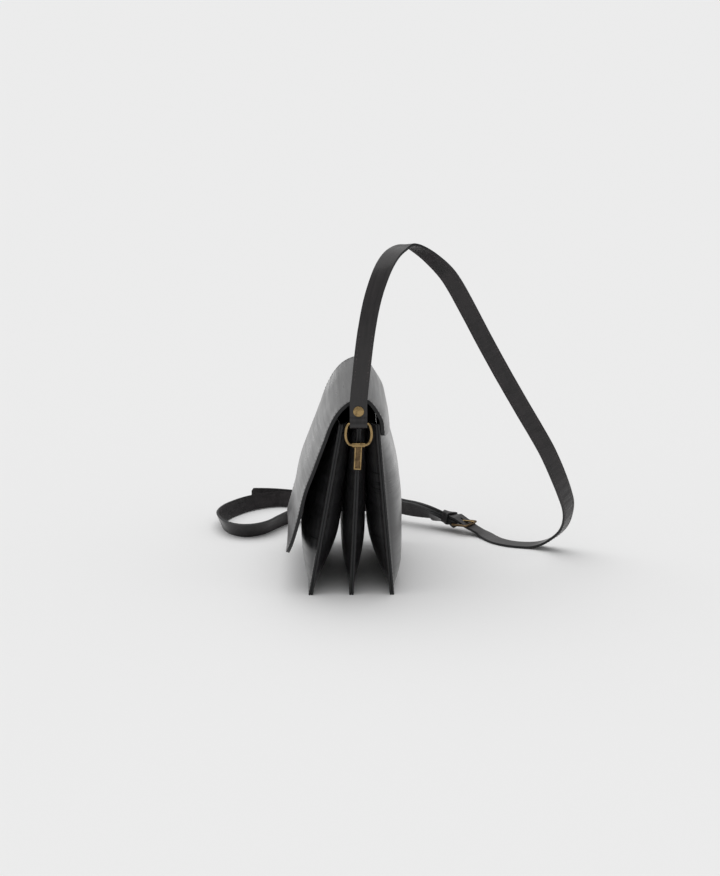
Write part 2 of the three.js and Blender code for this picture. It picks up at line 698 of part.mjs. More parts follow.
// Rivet through the doubled strap, made along +Z with its dome up and the strap's middle at zero
function rivetGeometry() {
  const reach = strapLeather + touch / 2 + wireFit;
  const head = rivetHead / 2;
  const post = rivetPost / 2;
  const cap = rivetCap / 2;
  const profile = [
    [0, -reach - rivetCapThickness],
    [cap, -reach - rivetCapThickness],
    [cap, -reach],
    [post, -reach],
    [post, reach],
    [head, reach],
  ];
  for (const share of [0.4, 0.7, 0.9]) {
    profile.push([head * Math.cos(Math.asin(share)), reach + rivetDome * share]);
  }
  profile.push([0, reach + rivetDome]);
  const geometry = new THREE.LatheGeometry(profile.map(([x, y]) => new THREE.Vector2(x, y)), 16);
  geometry.rotateX(Math.PI / 2);
  return geometry;
}

function placeAlong(geometry, direction, centre) {
  const turn = new THREE.Quaternion().setFromUnitVectors(new THREE.Vector3(0, 0, 1), direction);
  geometry.applyQuaternion(turn);
  geometry.translate(centre.x, centre.y, centre.z);
  return geometry;
}

// Where the rivet's middle lies: between the two layers of the fold
function rivetPlace(ring, mainOffset) {
  const between = mainOffset - (strapLeather + touch) / 2;
  return ring.bar.clone().addScaledVector(ring.away, rivetDistance).addScaledVector(ring.grain, between);
}

function rivetHole(direction, centre) {
  const radius = rivetPost / 2 + wireFit;
  const hole = new THREE.CylinderGeometry(radius, radius, 6 * strapLeather, 16);
  hole.rotateX(Math.PI / 2);
  return placeAlong(hole, direction, centre);
}

const nearRing = ringAt(1);
const farRing = ringAt(-1);
const closedOffset = strapLeather + touch - foldRadius;

// Buckle frame of reference: out points from the heel bar to the front bar, side lies along the bars
const buckleAngle = THREE.MathUtils.degToRad(buckleTurn);
const buckleOut = new THREE.Vector3(Math.cos(buckleAngle), Math.sin(buckleAngle), 0);
const buckleUp = new THREE.Vector3(0, 0, 1);
const buckleSide = buckleOut.clone().cross(buckleUp);
const heelBar = new THREE.Vector3(buckleAlong, buckleAcross, buckleHeight);
const heelRadius = buckleWire / 2 + wireFit + strapLeather / 2;

function atBuckle(out, up) {
  return heelBar.clone().addScaledVector(buckleOut, out).addScaledVector(buckleUp, up);
}

// Buckle strap: fold at the heel bar, the loop on the surface, the rise and the fold at the far ring
function buckleStrapMain() {
  const points = [atBuckle(0, heelRadius), atBuckle(-5, heelRadius), atBuckle(-11, heelRadius + 0.6)];
  const faces = [buckleUp.clone(), new THREE.Vector3(-0.12, 0.06, 1), new THREE.Vector3(-0.3, 0.18, 0.95)];
  for (const row of loopRoute) {
    points.push(routePoint(row));
    faces.push(vectorOf(row));
  }
  const start = points[points.length - 1];
  const joinOffset = foldRadius;
  const target = farRing.bar.clone().addScaledVector(farRing.grain, joinOffset);
  for (const row of riseRoute) {
    points.push(new THREE.Vector3(
      THREE.MathUtils.lerp(start.x, target.x, row.along),
      THREE.MathUtils.lerp(start.y, target.y, row.across),
      THREE.MathUtils.lerp(start.z, target.z, row.up),
    ));
    faces.push(vectorOf(row));
  }
  for (const distance of [26, 20, 13, 6.5, 0]) {
    points.push(target.clone().addScaledVector(farRing.away, distance));
    faces.push(farRing.grain.clone());
  }
  return stationsAlong(points, faces, 3, 4);
}

function reversed(stations) {
  const turned = ({ point, tangent, face }) => ({ point, tangent: tangent.clone().negate(), face });
  return stations.map(turned).reverse();
}

const buckleMain = buckleStrapMain();

function buckleStrap() {
  const heelAway = buckleOut.clone().negate();
  const heelFold = foldedLayer(buckleMain, heelBar, heelAway, buckleUp, heelRadius, heelFoldLength);
  const farMain = reversed(buckleMain);
  const { bar, away, grain } = farRing;
  const farFold = reversed(foldedLayer(farMain, bar, away, grain, foldRadius, foldLength));
  const geometry = band([...heelFold, ...buckleMain, ...farFold], strapWidth, strapLeather);
  const slotWidth = prongWire + 2 * touch;
  const slot = boxGeometry(buckleLength, slotWidth, 4 * heelRadius, [heelRadius + touch, 0, 0]);
  placeAtBuckle(slot);
  const hole = rivetHole(farRing.grain, rivetPlace(farRing, foldRadius));
  return cut(geometry, [slot, hole]);
}

function placeAtBuckle(geometry) {
  const basis = new THREE.Matrix4().makeBasis(buckleOut, buckleSide.clone().negate(), buckleUp);
  geometry.applyMatrix4(basis);
  geometry.translate(heelBar.x, heelBar.y, heelBar.z);
  return geometry;
}

// Hole strap: fold at the near ring, the arch, under the front bar, over the heel bar, and its tail
const frontBarUp = buckleRise;
const underFront = frontBarUp - buckleWire / 2 - wireFit - strapLeather / 2;
const overHeel = heelRadius + strapLeather + tailGap;

function nearFoldPoints() {
  return [0, 1, 2, 3, 4, 5, 6.5, 10, 20].map((distance) => nearRing.bar.clone()
    .addScaledVector(nearRing.away, distance)
    .addScaledVector(nearRing.grain, foldSpread(distance, foldRadius) - foldRadius));
}

// The stretch that lies on top of the buckle strap, from the heel bar through the keeper
function stackedStations() {
  const stacked = [];
  for (const station of buckleMain.map(squareUp)) {
    if (station.point.y < stackEnd * loopReach) {
      break;
    }
    const point = station.point.clone().addScaledVector(station.face, strapLeather + tailGap);
    stacked.push({ point, tangent: station.tangent, face: station.face });
  }
  return stacked;
}

function holeStrapMain() {
  const points = nearFoldPoints();
  const faces = points.map(() => nearRing.grain.clone());
  for (const row of archRoute) {
    const point = routePoint(row);
    point.z = (strapLeather + touch) / 2 + row.up * (archHeight - strapLeather / 2);
    points.push(point);
    faces.push(vectorOf(row));
  }
  const toBuckle = [
    [buckleLength + approachLength, strapLeather / 2 + approachLift - buckleHeight],
    [buckleLength, underFront],
    [buckleLength / 2, (underFront + overHeel) / 2],
  ];
  for (const [out, up] of toBuckle) {
    points.push(atBuckle(out, up));
    faces.push(new THREE.Vector3(out > buckleLength ? -0.12 : 0, 0, 1));
  }
  const stacked = stackedStations();
  const lead = stationsBetween(points, faces, null, stacked, 2);
  const tailPoints = tailRoute.map(routePoint);
  const tail = stationsBetween(tailPoints, tailRoute.map(vectorOf), stacked, null, 4);
  return [...lead, ...stacked, ...tail];
}

function holeStrap() {
  const main = holeStrapMain();
  const fold = foldedLayer(main, nearRing.bar, nearRing.away, nearRing.grain, foldRadius, foldLength);
  const geometry = band([...fold, ...main], strapWidth, strapLeather);
  const slotLength = buckleLength * 0.62;
  const slotPlace = [buckleLength * 0.52, 0, 1.6];
  const slot = boxGeometry(slotLength, prongWire + 2 * touch, 4 * strapLeather, slotPlace);
  placeAtBuckle(slot);
  const hole = rivetHole(nearRing.grain, rivetPlace(nearRing, closedOffset));
  return cut(geometry, [slot, hole]);
}

// Buckle frame: a wire rectangle with round corners, its front bar lifted above its heel bar
function buckleFrame() {
  const halfWidth = strapWidth / 2 + buckleFit + buckleWire / 2;
  const corner = buckleWire * 0.7;
  const outline = [];
  const far = buckleLength - corner;
  const wide = halfWidth - corner;
  const corners = [[far, wide, 0], [corner, wide, 1], [corner, -wide, 2], [far, -wide, 3]];
  for (const [out, side, quarter] of corners) {
    for (let i = 0; i <= 3; i += 1) {
      const angle = (Math.PI / 2) * (quarter + i / 3);
      outline.push(new THREE.Vector2(out + corner * Math.cos(angle), side + corner * Math.sin(angle)));
    }
  }
  const geometry = bentWire(outline, buckleWire, 8);
  const tilt = Math.atan(buckleRise / buckleLength);
  const toBuckle = new THREE.Matrix4().makeBasis(
    new THREE.Vector3(0, 0, 1),
    new THREE.Vector3(1, 0, 0),
    new THREE.Vector3(0, 1, 0),
  );
  geometry.applyMatrix4(toBuckle);
  geometry.applyMatrix4(new THREE.Matrix4().makeRotationY(-tilt));
  return placeAtBuckle(geometry);
}

// Prong: wrapped round the heel bar, up through the strap and resting on the front bar
function buckleProng() {
  const wrap = buckleWire / 2 + wireFit + prongWire / 2;
  const rest = frontBarUp + buckleWire / 2 + touch + prongWire / 2;
  const points = [];
  const start = -Math.PI * 0.55;
  const stop = Math.PI * 1.28;
  const turns = 12;
  for (let i = 0; i <= turns; i += 1) {
    const angle = start - ((stop - Math.PI * 0.05) * i) / turns;
    points.push(new THREE.Vector3(wrap * Math.cos(angle), 0, wrap * Math.sin(angle)));
  }
  points.push(new THREE.Vector3(buckleLength * 0.5, 0, THREE.MathUtils.lerp(wrap, rest, 0.6)));
  points.push(new THREE.Vector3(buckleLength, 0, rest));
  points.push(new THREE.Vector3(buckleLength + prongOverhang, 0, rest));
  const path = new THREE.CatmullRomCurve3(points, false, 'centripetal');
  const section = new THREE.Shape();
  section.absarc(0, 0, prongWire / 2, 0, 2 * Math.PI, false);
  const geometry = new THREE.ExtrudeGeometry(section, {
    steps: 24,
    curveSegments: 3,
    extrudePath: path,
    bevelEnabled: false,
  });
  return placeAtBuckle(geometry);
}

// Keeper: a leather loop round both straps, following their twist
function keeperLoop() {
  let travelled = 0;
  const stations = [];
  for (let i = 1; i < buckleMain.length; i += 1) {
    travelled += buckleMain[i].point.distanceTo(buckleMain[i - 1].point);
    if (Math.abs(travelled - keeperDistance) <= keeperWidth / 2) {
      stations.push(squareUp(buckleMain[i]));
    }
  }
  const above = strapLeather * 1.5 + tailGap + keeperFit;
  const below = strapLeather * 1.5 + touch + keeperFit;
  const half = strapWidth / 2 + keeperFit;
  const corners = [
    [half, above],
    [half + touch, 0],
    [half, -below],
    [0, -below - touch],
    [-half, -below],
    [-half - touch, 0],
    [-half, above],
    [0, above + touch],
  ];
  const place = (station, side, up, grow) => {
    const across = station.tangent.clone().cross(station.face);
    const outX = side + Math.sign(side) * grow * (Math.abs(side) > 0 ? 1 : 0);
    const outY = up + Math.sign(up) * grow * (Math.abs(up) > 0 ? 1 : 0);
    return station.point.clone().addScaledVector(across, outX).addScaledVector(station.face, outY);
  };
  const sections = corners.map(([side, up]) => [
    ...stations.map((station) => place(station, side, up, 0)),
    ...stations.slice().reverse().map((station) => place(station, side, up, keeperLeather)),
  ]);
  return loft(sections, true);
}

const pockets = [['front_pocket', -1], ['middle_pocket', 0], ['back_pocket', 1]];
for (const [name, pocket] of pockets) {
  addPiece(`${name}_front_panel`, pocketPanel(pocket, -1), leather);
  addPiece(`${name}_back_panel`, pocketPanel(pocket, 1), leather);
}
addPiece('flap', flap(), leather);
addPiece('hole_strap', holeStrap(), leather);
addPiece('buckle_strap', buckleStrap(), leather);
addPiece('keeper_loop', keeperLoop(), leather);
const ends = [['near', 1, nearRing, closedOffset], ['far', -1, farRing, foldRadius]];
for (const [name, end, ring, offset] of ends) {
  addPiece(`${name}_ring`, endRing(end), brass);
  addPiece(`${name}_clip`, endClip(end), brass);
  addPiece(`${name}_rivet`, placeAlong(rivetGeometry(), ring.grain, rivetPlace(ring, offset)), brass);
}
addPiece('buckle_frame', buckleFrame(), brass);
addPiece('buckle_prong', buckleProng(), brass);

// The origin is the middle of the whole object's footprint, on the surface that it stands on
const bounds = new THREE.Box3().setFromObject(group);
const middle = bounds.getCenter(new THREE.Vector3());
group.position.set(-middle.x, -middle.y, -bounds.min.z);

export default group;
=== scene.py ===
import math

import bmesh
import bpy
from mathutils import Matrix, Vector, noise


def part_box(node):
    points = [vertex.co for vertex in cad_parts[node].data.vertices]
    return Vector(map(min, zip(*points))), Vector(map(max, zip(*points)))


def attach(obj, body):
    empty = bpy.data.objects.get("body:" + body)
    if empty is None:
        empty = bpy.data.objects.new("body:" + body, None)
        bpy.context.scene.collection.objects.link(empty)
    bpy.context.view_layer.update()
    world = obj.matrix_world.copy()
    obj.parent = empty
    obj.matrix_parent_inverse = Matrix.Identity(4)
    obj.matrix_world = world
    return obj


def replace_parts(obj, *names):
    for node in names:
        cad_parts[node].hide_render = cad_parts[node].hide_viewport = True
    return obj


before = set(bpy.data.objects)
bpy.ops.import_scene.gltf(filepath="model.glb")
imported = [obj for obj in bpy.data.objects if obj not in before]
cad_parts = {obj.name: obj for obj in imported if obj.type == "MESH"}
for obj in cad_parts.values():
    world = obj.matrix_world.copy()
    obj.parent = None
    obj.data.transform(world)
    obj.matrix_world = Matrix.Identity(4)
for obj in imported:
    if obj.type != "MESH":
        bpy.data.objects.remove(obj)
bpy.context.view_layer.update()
print("frame loaded")

# Sizes are in millimetres as the maker would read them, and are made metres where a mesh is placed.
millimetre = 0.001

bag = {
    "length": 176, "pocketHeight": 163, "pocketLeather": 1.75, "shownLeather": 2.0, "seamMargin": 4,
    "footSpacing": 37.8, "rimSpacing": 16.5, "rimLean": 7.4, "frontSwell": 16.2, "backSwell": 15.1,
    "innerSwell": 17.5, "middleSwell": 11, "middleShare": 0.37, "sewnGap": 0.36, "touch": 0.3,
    "barrelHeight": 145.3, "fullnessPower": 4, "fullnessEase": 0.8, "limitPower": 8,
}
halfLength = bag["length"] / 2
halfSeam = (bag["pocketLeather"] + bag["sewnGap"]) / 2

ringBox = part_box("near_ring")
placeX = (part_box("flap")[0].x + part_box("flap")[1].x) / 2
barrelLean = bag["rimLean"] * bag["barrelHeight"] / bag["pocketHeight"]
placeY = (ringBox[0].y + ringBox[1].y) / 2 - barrelLean * millimetre
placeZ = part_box("middle_pocket_front_panel")[0].z


def toFrame(p):
    return Vector((p[0] * millimetre + placeX, p[1] * millimetre + placeY, p[2] * millimetre + placeZ))


# Curves through given points

def cubic(p0, p1, p2, p3, w, even):
    if even:  # passes with spacing taken from the distances between the points
        d0 = (p0 - p1).length_squared ** 0.25
        d1 = (p1 - p2).length_squared ** 0.25
        d2 = (p2 - p3).length_squared ** 0.25
        d1 = d1 if d1 > 1e-4 else 1
        d0 = d0 if d0 > 1e-4 else d1
        d2 = d2 if d2 > 1e-4 else d1
        t1 = ((p1 - p0) / d0 - (p2 - p0) / (d0 + d1) + (p2 - p1) / d1) * d1
        t2 = ((p2 - p1) / d1 - (p3 - p1) / (d1 + d2) + (p3 - p2) / d2) * d1
    else:
        t1, t2 = (p2 - p0) * 0.5, (p3 - p1) * 0.5
    return p1 + t1 * w + (p2 * 3 - p1 * 3 - t1 * 2 - t2) * w ** 2 + (p1 * 2 - p2 * 2 + t1 + t2) * w ** 3


def along(points, t, even=True):
    place = min(max(t, 0), 1) * (len(points) - 1)
    i = min(int(place), len(points) - 2)
    p1, p2 = points[i], points[i + 1]
    p0 = points[i - 1] if i > 0 else p1 * 2 - p2
    p3 = points[i + 2] if i + 2 < len(points) else p2 * 2 - p1
    return cubic(p0, p1, p2, p3, place - i, even)


def heading(points, t):
    return (along(points, min(t + 1e-4, 1)) - along(points, max(t - 1e-4, 0))).normalized()


def rowValue(rows, key, place, column):
    points = [Vector((row[key], row[column], 0)) for row in rows]
    i = next((n for n in range(len(rows) - 1) if place <= rows[n + 1][key]), len(rows) - 2)
    share = min(max((place - rows[i][key]) / (rows[i + 1][key] - rows[i][key]), 0), 1)
    return along(points, (i + share) / (len(rows) - 1), False).y


def smoothStep(value, low, high):
    t = min(max((value - low) / (high - low), 0), 1)
    return t * t * (3 - 2 * t)


def mix(a, b, t):
    return a + (b - a) * t


# Materials

def nodeOf(tree, kind, **values):
    node = tree.nodes.new(kind)
    for name, value in values.items():
        if name in node.inputs:
            node.inputs[name].default_value = value
        else:
            setattr(node, name, value)
    return node


def newMaterial(name, **values):
    material = bpy.data.materials.new(name)
    material.use_nodes = True
    shader = material.node_tree.nodes["Principled BSDF"]
    for key, value in values.items():
        shader.inputs[key].default_value = value
    return material, material.node_tree, shader


def ramp(tree, source, low, high, lowColour, highColour):
    node = nodeOf(tree, "ShaderNodeValToRGB")
    node.color_ramp.elements[0].position = low
    node.color_ramp.elements[0].color = (*lowColour, 1)
    node.color_ramp.elements[1].position = high
    node.color_ramp.elements[1].color = (*highColour, 1)
    tree.links.new(source, node.inputs["Fac"])
    return node.outputs["Color"]


def mapped(tree, source, scale):
    node = nodeOf(tree, "ShaderNodeMapping", Scale=scale)
    tree.links.new(source, node.inputs["Vector"])
    return node.outputs["Vector"]


def noiseOf(tree, vector, scale, detail=3.0, roughness=0.5):
    node = nodeOf(tree, "ShaderNodeTexNoise", Scale=scale, Detail=detail, Roughness=roughness)
    tree.links.new(vector, node.inputs["Vector"])
    return node.outputs["Fac"]


def maths(tree, operation, a, b):
    node = nodeOf(tree, "ShaderNodeMath", operation=operation)
    for socket, value in zip(node.inputs, (a, b)):
        if isinstance(value, (int, float)):
            socket.default_value = value
        else:
            tree.links.new(value, socket)
    return node.outputs[0]


leatherBlend = {
    "streaks": 0.6, "clouds": 0.4, "colour": (0.38, 0.62), "gloss": (0.36, 0.64), "fineScale": 2.2,
}


def leather(name, look, blend):
    material, tree, shader = newMaterial(name, **look["shader"])
    coordinates = nodeOf(tree, "ShaderNodeTexCoord")
    flat, solid = coordinates.outputs["UV"], coordinates.outputs["Object"]
    streaks = noiseOf(tree, mapped(tree, flat, look["streakScale"]), 1.0, 5.0, 0.6)
    clouds = noiseOf(tree, solid, look["cloudScale"], 3.0)
    both = maths(tree, "ADD", maths(tree, "MULTIPLY", streaks, blend["streaks"]),
                 maths(tree, "MULTIPLY", clouds, blend["clouds"]))
    colour = ramp(tree, both, *blend["colour"], look["dark"], look["light"])
    tree.links.new(colour, shader.inputs["Base Color"])
    low, high = look["roughness"]
    rough = ramp(tree, both, *blend["gloss"], (low,) * 3, (high,) * 3)
    tree.links.new(rough, shader.inputs["Roughness"])
    pebbles = nodeOf(tree, "ShaderNodeTexVoronoi", Scale=look["grainScale"], feature="SMOOTH_F1")
    tree.links.new(solid, pebbles.inputs["Vector"])
    fine = noiseOf(tree, solid, look["grainScale"] * blend["fineScale"], 2.0)
    wrinkles = noiseOf(tree, mapped(tree, flat, look["wrinkleScale"]), 1.0, 2.0, 0.4)
    height = maths(tree, "ADD", maths(tree, "MULTIPLY", pebbles.outputs["Distance"], look["grainShare"]),
                   maths(tree, "MULTIPLY", wrinkles, look["wrinkleShare"]))
    height = maths(tree, "ADD", height, maths(tree, "MULTIPLY", fine, look["fineShare"]))
    bump = nodeOf(tree, "ShaderNodeBump", Strength=look["bump"], Distance=look["depth"])
    tree.links.new(height, bump.inputs["Height"])
    tree.links.new(bump.outputs["Normal"], shader.inputs["Normal"])
    return material


leatherLooks = {
    "bagLeather": {
        "shader": {"IOR": 1.5, "Specular IOR Level": 0.6, "Coat Weight": 0.55, "Coat Roughness": 0.28},
        "dark": (0.004, 0.004, 0.0045), "light": (0.019, 0.0185, 0.02), "roughness": (0.22, 0.5),
        "streakScale": (9, 230, 1), "cloudScale": 14, "grainScale": 1100, "grainShare": 0.3,
        "fineShare": 0.2, "wrinkleScale": (13, 190, 1), "wrinkleShare": 1.15, "bump": 0.7, "depth": 0.0004,
    },
    "bagLining": {
        "shader": {"IOR": 1.45, "Specular IOR Level": 0.15},
        "dark": (0.003, 0.003, 0.003), "light": (0.008, 0.0075, 0.0075), "roughness": (0.75, 0.95),
        "streakScale": (300, 60, 1), "cloudScale": 40, "grainScale": 1900, "grainShare": 0.6,
        "fineShare": 0.6, "wrinkleScale": (90, 90, 1), "wrinkleShare": 0.2, "bump": 0.6, "depth": 0.0002,
    },
    "strapGrain": {
        "shader": {"IOR": 1.5, "Specular IOR Level": 0.45, "Coat Weight": 0.2, "Coat Roughness": 0.22},
        "dark": (0.005, 0.0041, 0.0044), "light": (0.017, 0.0138, 0.0148), "roughness": (0.24, 0.5),
        "streakScale": (420, 30, 1), "cloudScale": 45, "grainScale": 1500, "grainShare": 0.5,
        "fineShare": 0.35, "wrinkleScale": (60, 260, 1), "wrinkleShare": 0.5, "bump": 0.45, "depth": 0.00016,
    },
    "strapLining": {
        "shader": {"IOR": 1.5, "Specular IOR Level": 0.45},
        "dark": (0.005, 0.0042, 0.0046), "light": (0.02, 0.016, 0.0175), "roughness": (0.24, 0.46),
        "streakScale": (260, 60, 1), "cloudScale": 60, "grainScale": 1200, "grainShare": 0.35,
        "fineShare": 0.3, "wrinkleScale": (75, 170, 1), "wrinkleShare": 2.0, "bump": 0.9, "depth": 0.0007,
    },
    "edgePaint": {
        "shader": {"IOR": 1.5, "Specular IOR Level": 0.35},
        "dark": (0.007, 0.0075, 0.008), "light": (0.017, 0.0175, 0.0185), "roughness": (0.42, 0.6),
        "streakScale": (90, 90, 1), "cloudScale": 160, "grainScale": 2600, "grainShare": 0.2,
        "fineShare": 0.5, "wrinkleScale": (60, 60, 1), "wrinkleShare": 0.4, "bump": 0.35, "depth": 0.0002,
    },
}
leathers = {name: leather(name, look, leatherBlend) for name, look in leatherLooks.items()}

brassLook = {
    "bright": (0.36, 0.25, 0.115), "aged": (0.085, 0.055, 0.03), "polish": 0.24, "dull": 0.48, "wear": 0.3,
    "colourSpan": 0.2, "glossSpan": 0.25, "patchScale": 240, "scratchScale": (700, 700, 3600),
    "patches": 0.7, "scratches": 0.3, "bump": 0.3, "depth": 0.00006,
}
dullBrassLook = {
    **brassLook, "bright": (0.2, 0.135, 0.07), "aged": (0.09, 0.06, 0.035), "polish": 0.34, "dull": 0.5,
    "wear": 0.4,
}


def brass(name, look):
    material, tree, shader = newMaterial(name, Metallic=1.0)
    solid = nodeOf(tree, "ShaderNodeTexCoord").outputs["Object"]
    patches = noiseOf(tree, solid, look["patchScale"], 4.0, 0.6)
    scratches = noiseOf(tree, mapped(tree, solid, look["scratchScale"]), 1.0, 3.0)
    both = maths(tree, "ADD", maths(tree, "MULTIPLY", patches, look["patches"]),
                 maths(tree, "MULTIPLY", scratches, look["scratches"]))
    wear = look["wear"]
    colour = ramp(tree, both, wear, wear + look["colourSpan"], look["aged"], look["bright"])
    tree.links.new(colour, shader.inputs["Base Color"])
    rough = ramp(tree, both, wear, wear + look["glossSpan"], (look["dull"],) * 3, (look["polish"],) * 3)
    tree.links.new(rough, shader.inputs["Roughness"])
    bump = nodeOf(tree, "ShaderNodeBump", Strength=look["bump"], Distance=look["depth"])
    tree.links.new(scratches, bump.inputs["Height"])
    tree.links.new(bump.outputs["Normal"], shader.inputs["Normal"])
    return material


antiqueBrass = brass("antiqueBrass", brassLook)
darkBrass = brass("darkBrass", dullBrassLook)

threadLook = {
    "dark": (0.02, 0.016, 0.0165), "light": (0.085, 0.068, 0.07), "roughness": 0.4, "strandScale": 900,
    "distortion": 1.5, "strandEdges": (0.2, 0.8),
}


def threadMaterial(look):
    material, tree, shader = newMaterial("waxedThread", Roughness=look["roughness"])
    solid = nodeOf(tree, "ShaderNodeTexCoord").outputs["Object"]
    strands = nodeOf(tree, "ShaderNodeTexWave", Scale=look["strandScale"], Distortion=look["distortion"])
    tree.links.new(solid, strands.inputs["Vector"])
    colour = ramp(tree, strands.outputs["Fac"], *look["strandEdges"], look["dark"], look["light"])
    tree.links.new(colour, shader.inputs["Base Color"])
    return material


waxedThread = threadMaterial(threadLook)
print("materials made")


# Meshes

def finishPiece(name, bm, materials, smooth=40):
    mesh = bpy.data.meshes.new(name)
    bm.to_mesh(mesh)
    bm.free()
    for material in materials:
        mesh.materials.append(material)
    piece = bpy.data.objects.new(name, mesh)
    bpy.context.scene.collection.objects.link(piece)
    mesh.shade_smooth()
    mesh.set_sharp_from_angle(angle=math.radians(smooth))
    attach(piece, "root")
    return piece


def sheet(name, columns, rows, surface, thickness, rounding, materials, skip=None, closed=False):
    # a grid laid on the surface's middle, thickened evenly both ways, with its border rounded
    bm = bmesh.new()
    bmesh.ops.create_grid(bm, x_segments=columns, y_segments=rows, size=0.5)
    layer = bm.loops.layers.uv.new("flat")
    places = {v: (v.co.x + 0.5, v.co.y + 0.5) for v in bm.verts}
    flats = {}
    for v, (u, w) in places.items():
        point, flat = surface(u, w)
        v.co = toFrame(point)
        flats[v] = flat
    for face in bm.faces:
        for loop in face.loops:
            loop[layer].uv = flats[loop.vert]
    if skip:
        gone = [f for f in bm.faces if skip(*[sum(places[v][k] for v in f.verts) / 4 for k in (0, 1)])]
        bmesh.ops.delete(bm, geom=gone, context="FACES")
    if closed:
        bmesh.ops.remove_doubles(bm, verts=bm.verts, dist=1e-6)
    piece = finishPiece(name, bm, materials)
    wall = piece.modifiers.new("wall", "SOLIDIFY")
    wall.thickness, wall.offset = thickness * millimetre, 0
    wall.use_even_offset = True
    wall.material_offset, wall.material_offset_rim = 2, 1
    edge = piece.modifiers.new("edge", "BEVEL")
    edge.width, edge.segments, edge.limit_method = rounding * millimetre, 3, "ANGLE"
    edge.angle_limit = math.radians(60)
    return piece


def turned(bm, profile, closed, steps):
    # a profile of (radius, height) pairs spun round Z, closed on itself or with both ends on the axis
    corners = [bm.verts.new((r, 0, h)) for r, h in profile]
    edges = [bm.edges.new(pair) for pair in zip(corners, corners[1:])]
    if closed:
        edges.append(bm.edges.new((corners[-1], corners[0])))
    bmesh.ops.spin(bm, geom=corners + edges, axis=(0, 0, 1), cent=(0, 0, 0), steps=steps, angle=math.tau,
                   use_merge=True)
    bmesh.ops.remove_doubles(bm, verts=bm.verts, dist=1e-7)


def placeMesh(bm, x, y, z, centre):
    # moves a mesh made at the origin in millimetres to its place, with its own axes turned to x, y and z
    turn = Matrix((x, y, z)).transposed()
    for v in bm.verts:
        v.co = toFrame(turn @ v.co + centre)


def wire(bm, points, faces, radius, sides=16, closed=False):
    # circles along a path, bridged one to the next, with round ends where the path is open
    rings = []
    count = len(points)
    for i, (point, face) in enumerate(zip(points, faces)):
        before = points[i - 1] if i > 0 or closed else point
        after = points[(i + 1) % count] if i < count - 1 or closed else point
        tangent = (after - before).normalized()
        side = tangent.cross(face).normalized()
        up = side.cross(tangent)
        matrix = Matrix((side, up, tangent)).transposed().to_4x4()
        matrix.translation = point
        size = radius[i] if isinstance(radius, list) else radius
        rings.append(bmesh.ops.create_circle(bm, segments=sides, radius=size, matrix=matrix)["verts"])
    pairs = list(zip(rings, rings[1:])) + ([(rings[-1], rings[0])] if closed else [])
    for a, b in pairs:
        edges = [e for ring in (a, b) for v in ring for e in v.link_edges
                 if e.other_vert(v) in ring]
        bmesh.ops.bridge_loops(bm, edges=list(set(edges)))
    if not closed:
        for ring in (rings[0], rings[-1]):
            bmesh.ops.contextual_create(bm, geom=ring)
    bmesh.ops.recalc_face_normals(bm, faces=bm.faces)


# Pockets

swellRows = [
    {"height": 0, "front": 0, "back": 0, "inner": 0},
    {"height": 0.025, "front": 0, "back": 0, "inner": 0},
    {"height": 0.07, "front": 0.25, "back": 0.4, "inner": 0.24},
    {"height": 0.13, "front": 0.5, "back": 0.65, "inner": 0.5},
    {"height": 0.21, "front": 0.75, "back": 0.77, "inner": 0.74},
    {"height": 0.31, "front": 0.97, "back": 0.87, "inner": 0.94},
    {"height": 0.43, "front": 1, "back": 0.97, "inner": 1},
    {"height": 0.56, "front": 0.93, "back": 1, "inner": 1},
    {"height": 0.67, "front": 0.76, "back": 0.93, "inner": 1},
    {"height": 0.78, "front": 0.57, "back": 0.73, "inner": 1},
    {"height": 0.89, "front": 0.4, "back": 0.46, "inner": 0.95},
    {"height": 1, "front": 0.2, "back": 0.3, "inner": 0.9},
]
swellSteps = 320
swellTables = {
    column: [rowValue(swellRows, "height", i / swellSteps, column) for i in range(swellSteps + 1)]
    for column in ("front", "back", "inner")
}


def swellShare(column, height):
    place = min(max(height, 0), 1) * swellSteps
    i = min(int(place), swellSteps - 1)
    return mix(swellTables[column][i], swellTables[column][i + 1], place - i)


def seamSpacing(z):
    return mix(bag["footSpacing"], bag["rimSpacing"], z / bag["pocketHeight"])


def seamLine(pocket, z):
    return pocket * seamSpacing(z) + bag["rimLean"] * z / bag["pocketHeight"]


def fullnessAlong(x):
    share = min(1, abs(x) / (halfLength - bag["seamMargin"]))
    return (1 - share ** bag["fullnessPower"]) ** bag["fullnessEase"]


def softLimit(value, limit):
    power = bag["limitPower"]
    return 0 if value <= 0 else (value ** -power + limit ** -power) ** (-1 / power)


def swellOf(pocket, side, x, z):
    height = z / bag["pocketHeight"]
    if abs(pocket + side) == 2:
        swell, column = (bag["frontSwell"], "front") if side < 0 else (bag["backSwell"], "back")
        return swell * fullnessAlong(x) * swellShare(column, height)
    share = bag["middleShare"] if pocket == 0 else 1 - bag["middleShare"]
    room = share * seamSpacing(z) - halfSeam - (bag["pocketLeather"] + bag["touch"]) / 2
    swell = bag["middleSwell"] if pocket == 0 else bag["innerSwell"]
    return softLimit(swell * fullnessAlong(x) * swellShare("inner", height), room)


def panelMiddle(pocket, side, x, z):
    return seamLine(pocket, z) + side * (halfSeam + swellOf(pocket, side, x, z))


def panelFace(pocket, side, x, z):
    slope = (panelMiddle(pocket, side, x, z + 1) - panelMiddle(pocket, side, x, z - 1)) / 2
    return panelMiddle(pocket, side, x, z) + side * bag["pocketLeather"] * math.hypot(1, slope) / 2


panelLook = {"columns": 84, "rows": 70, "rounding": 0.45, "unevenness": 0.35, "waveScale": 0.03,
             "waveSeed": 7}


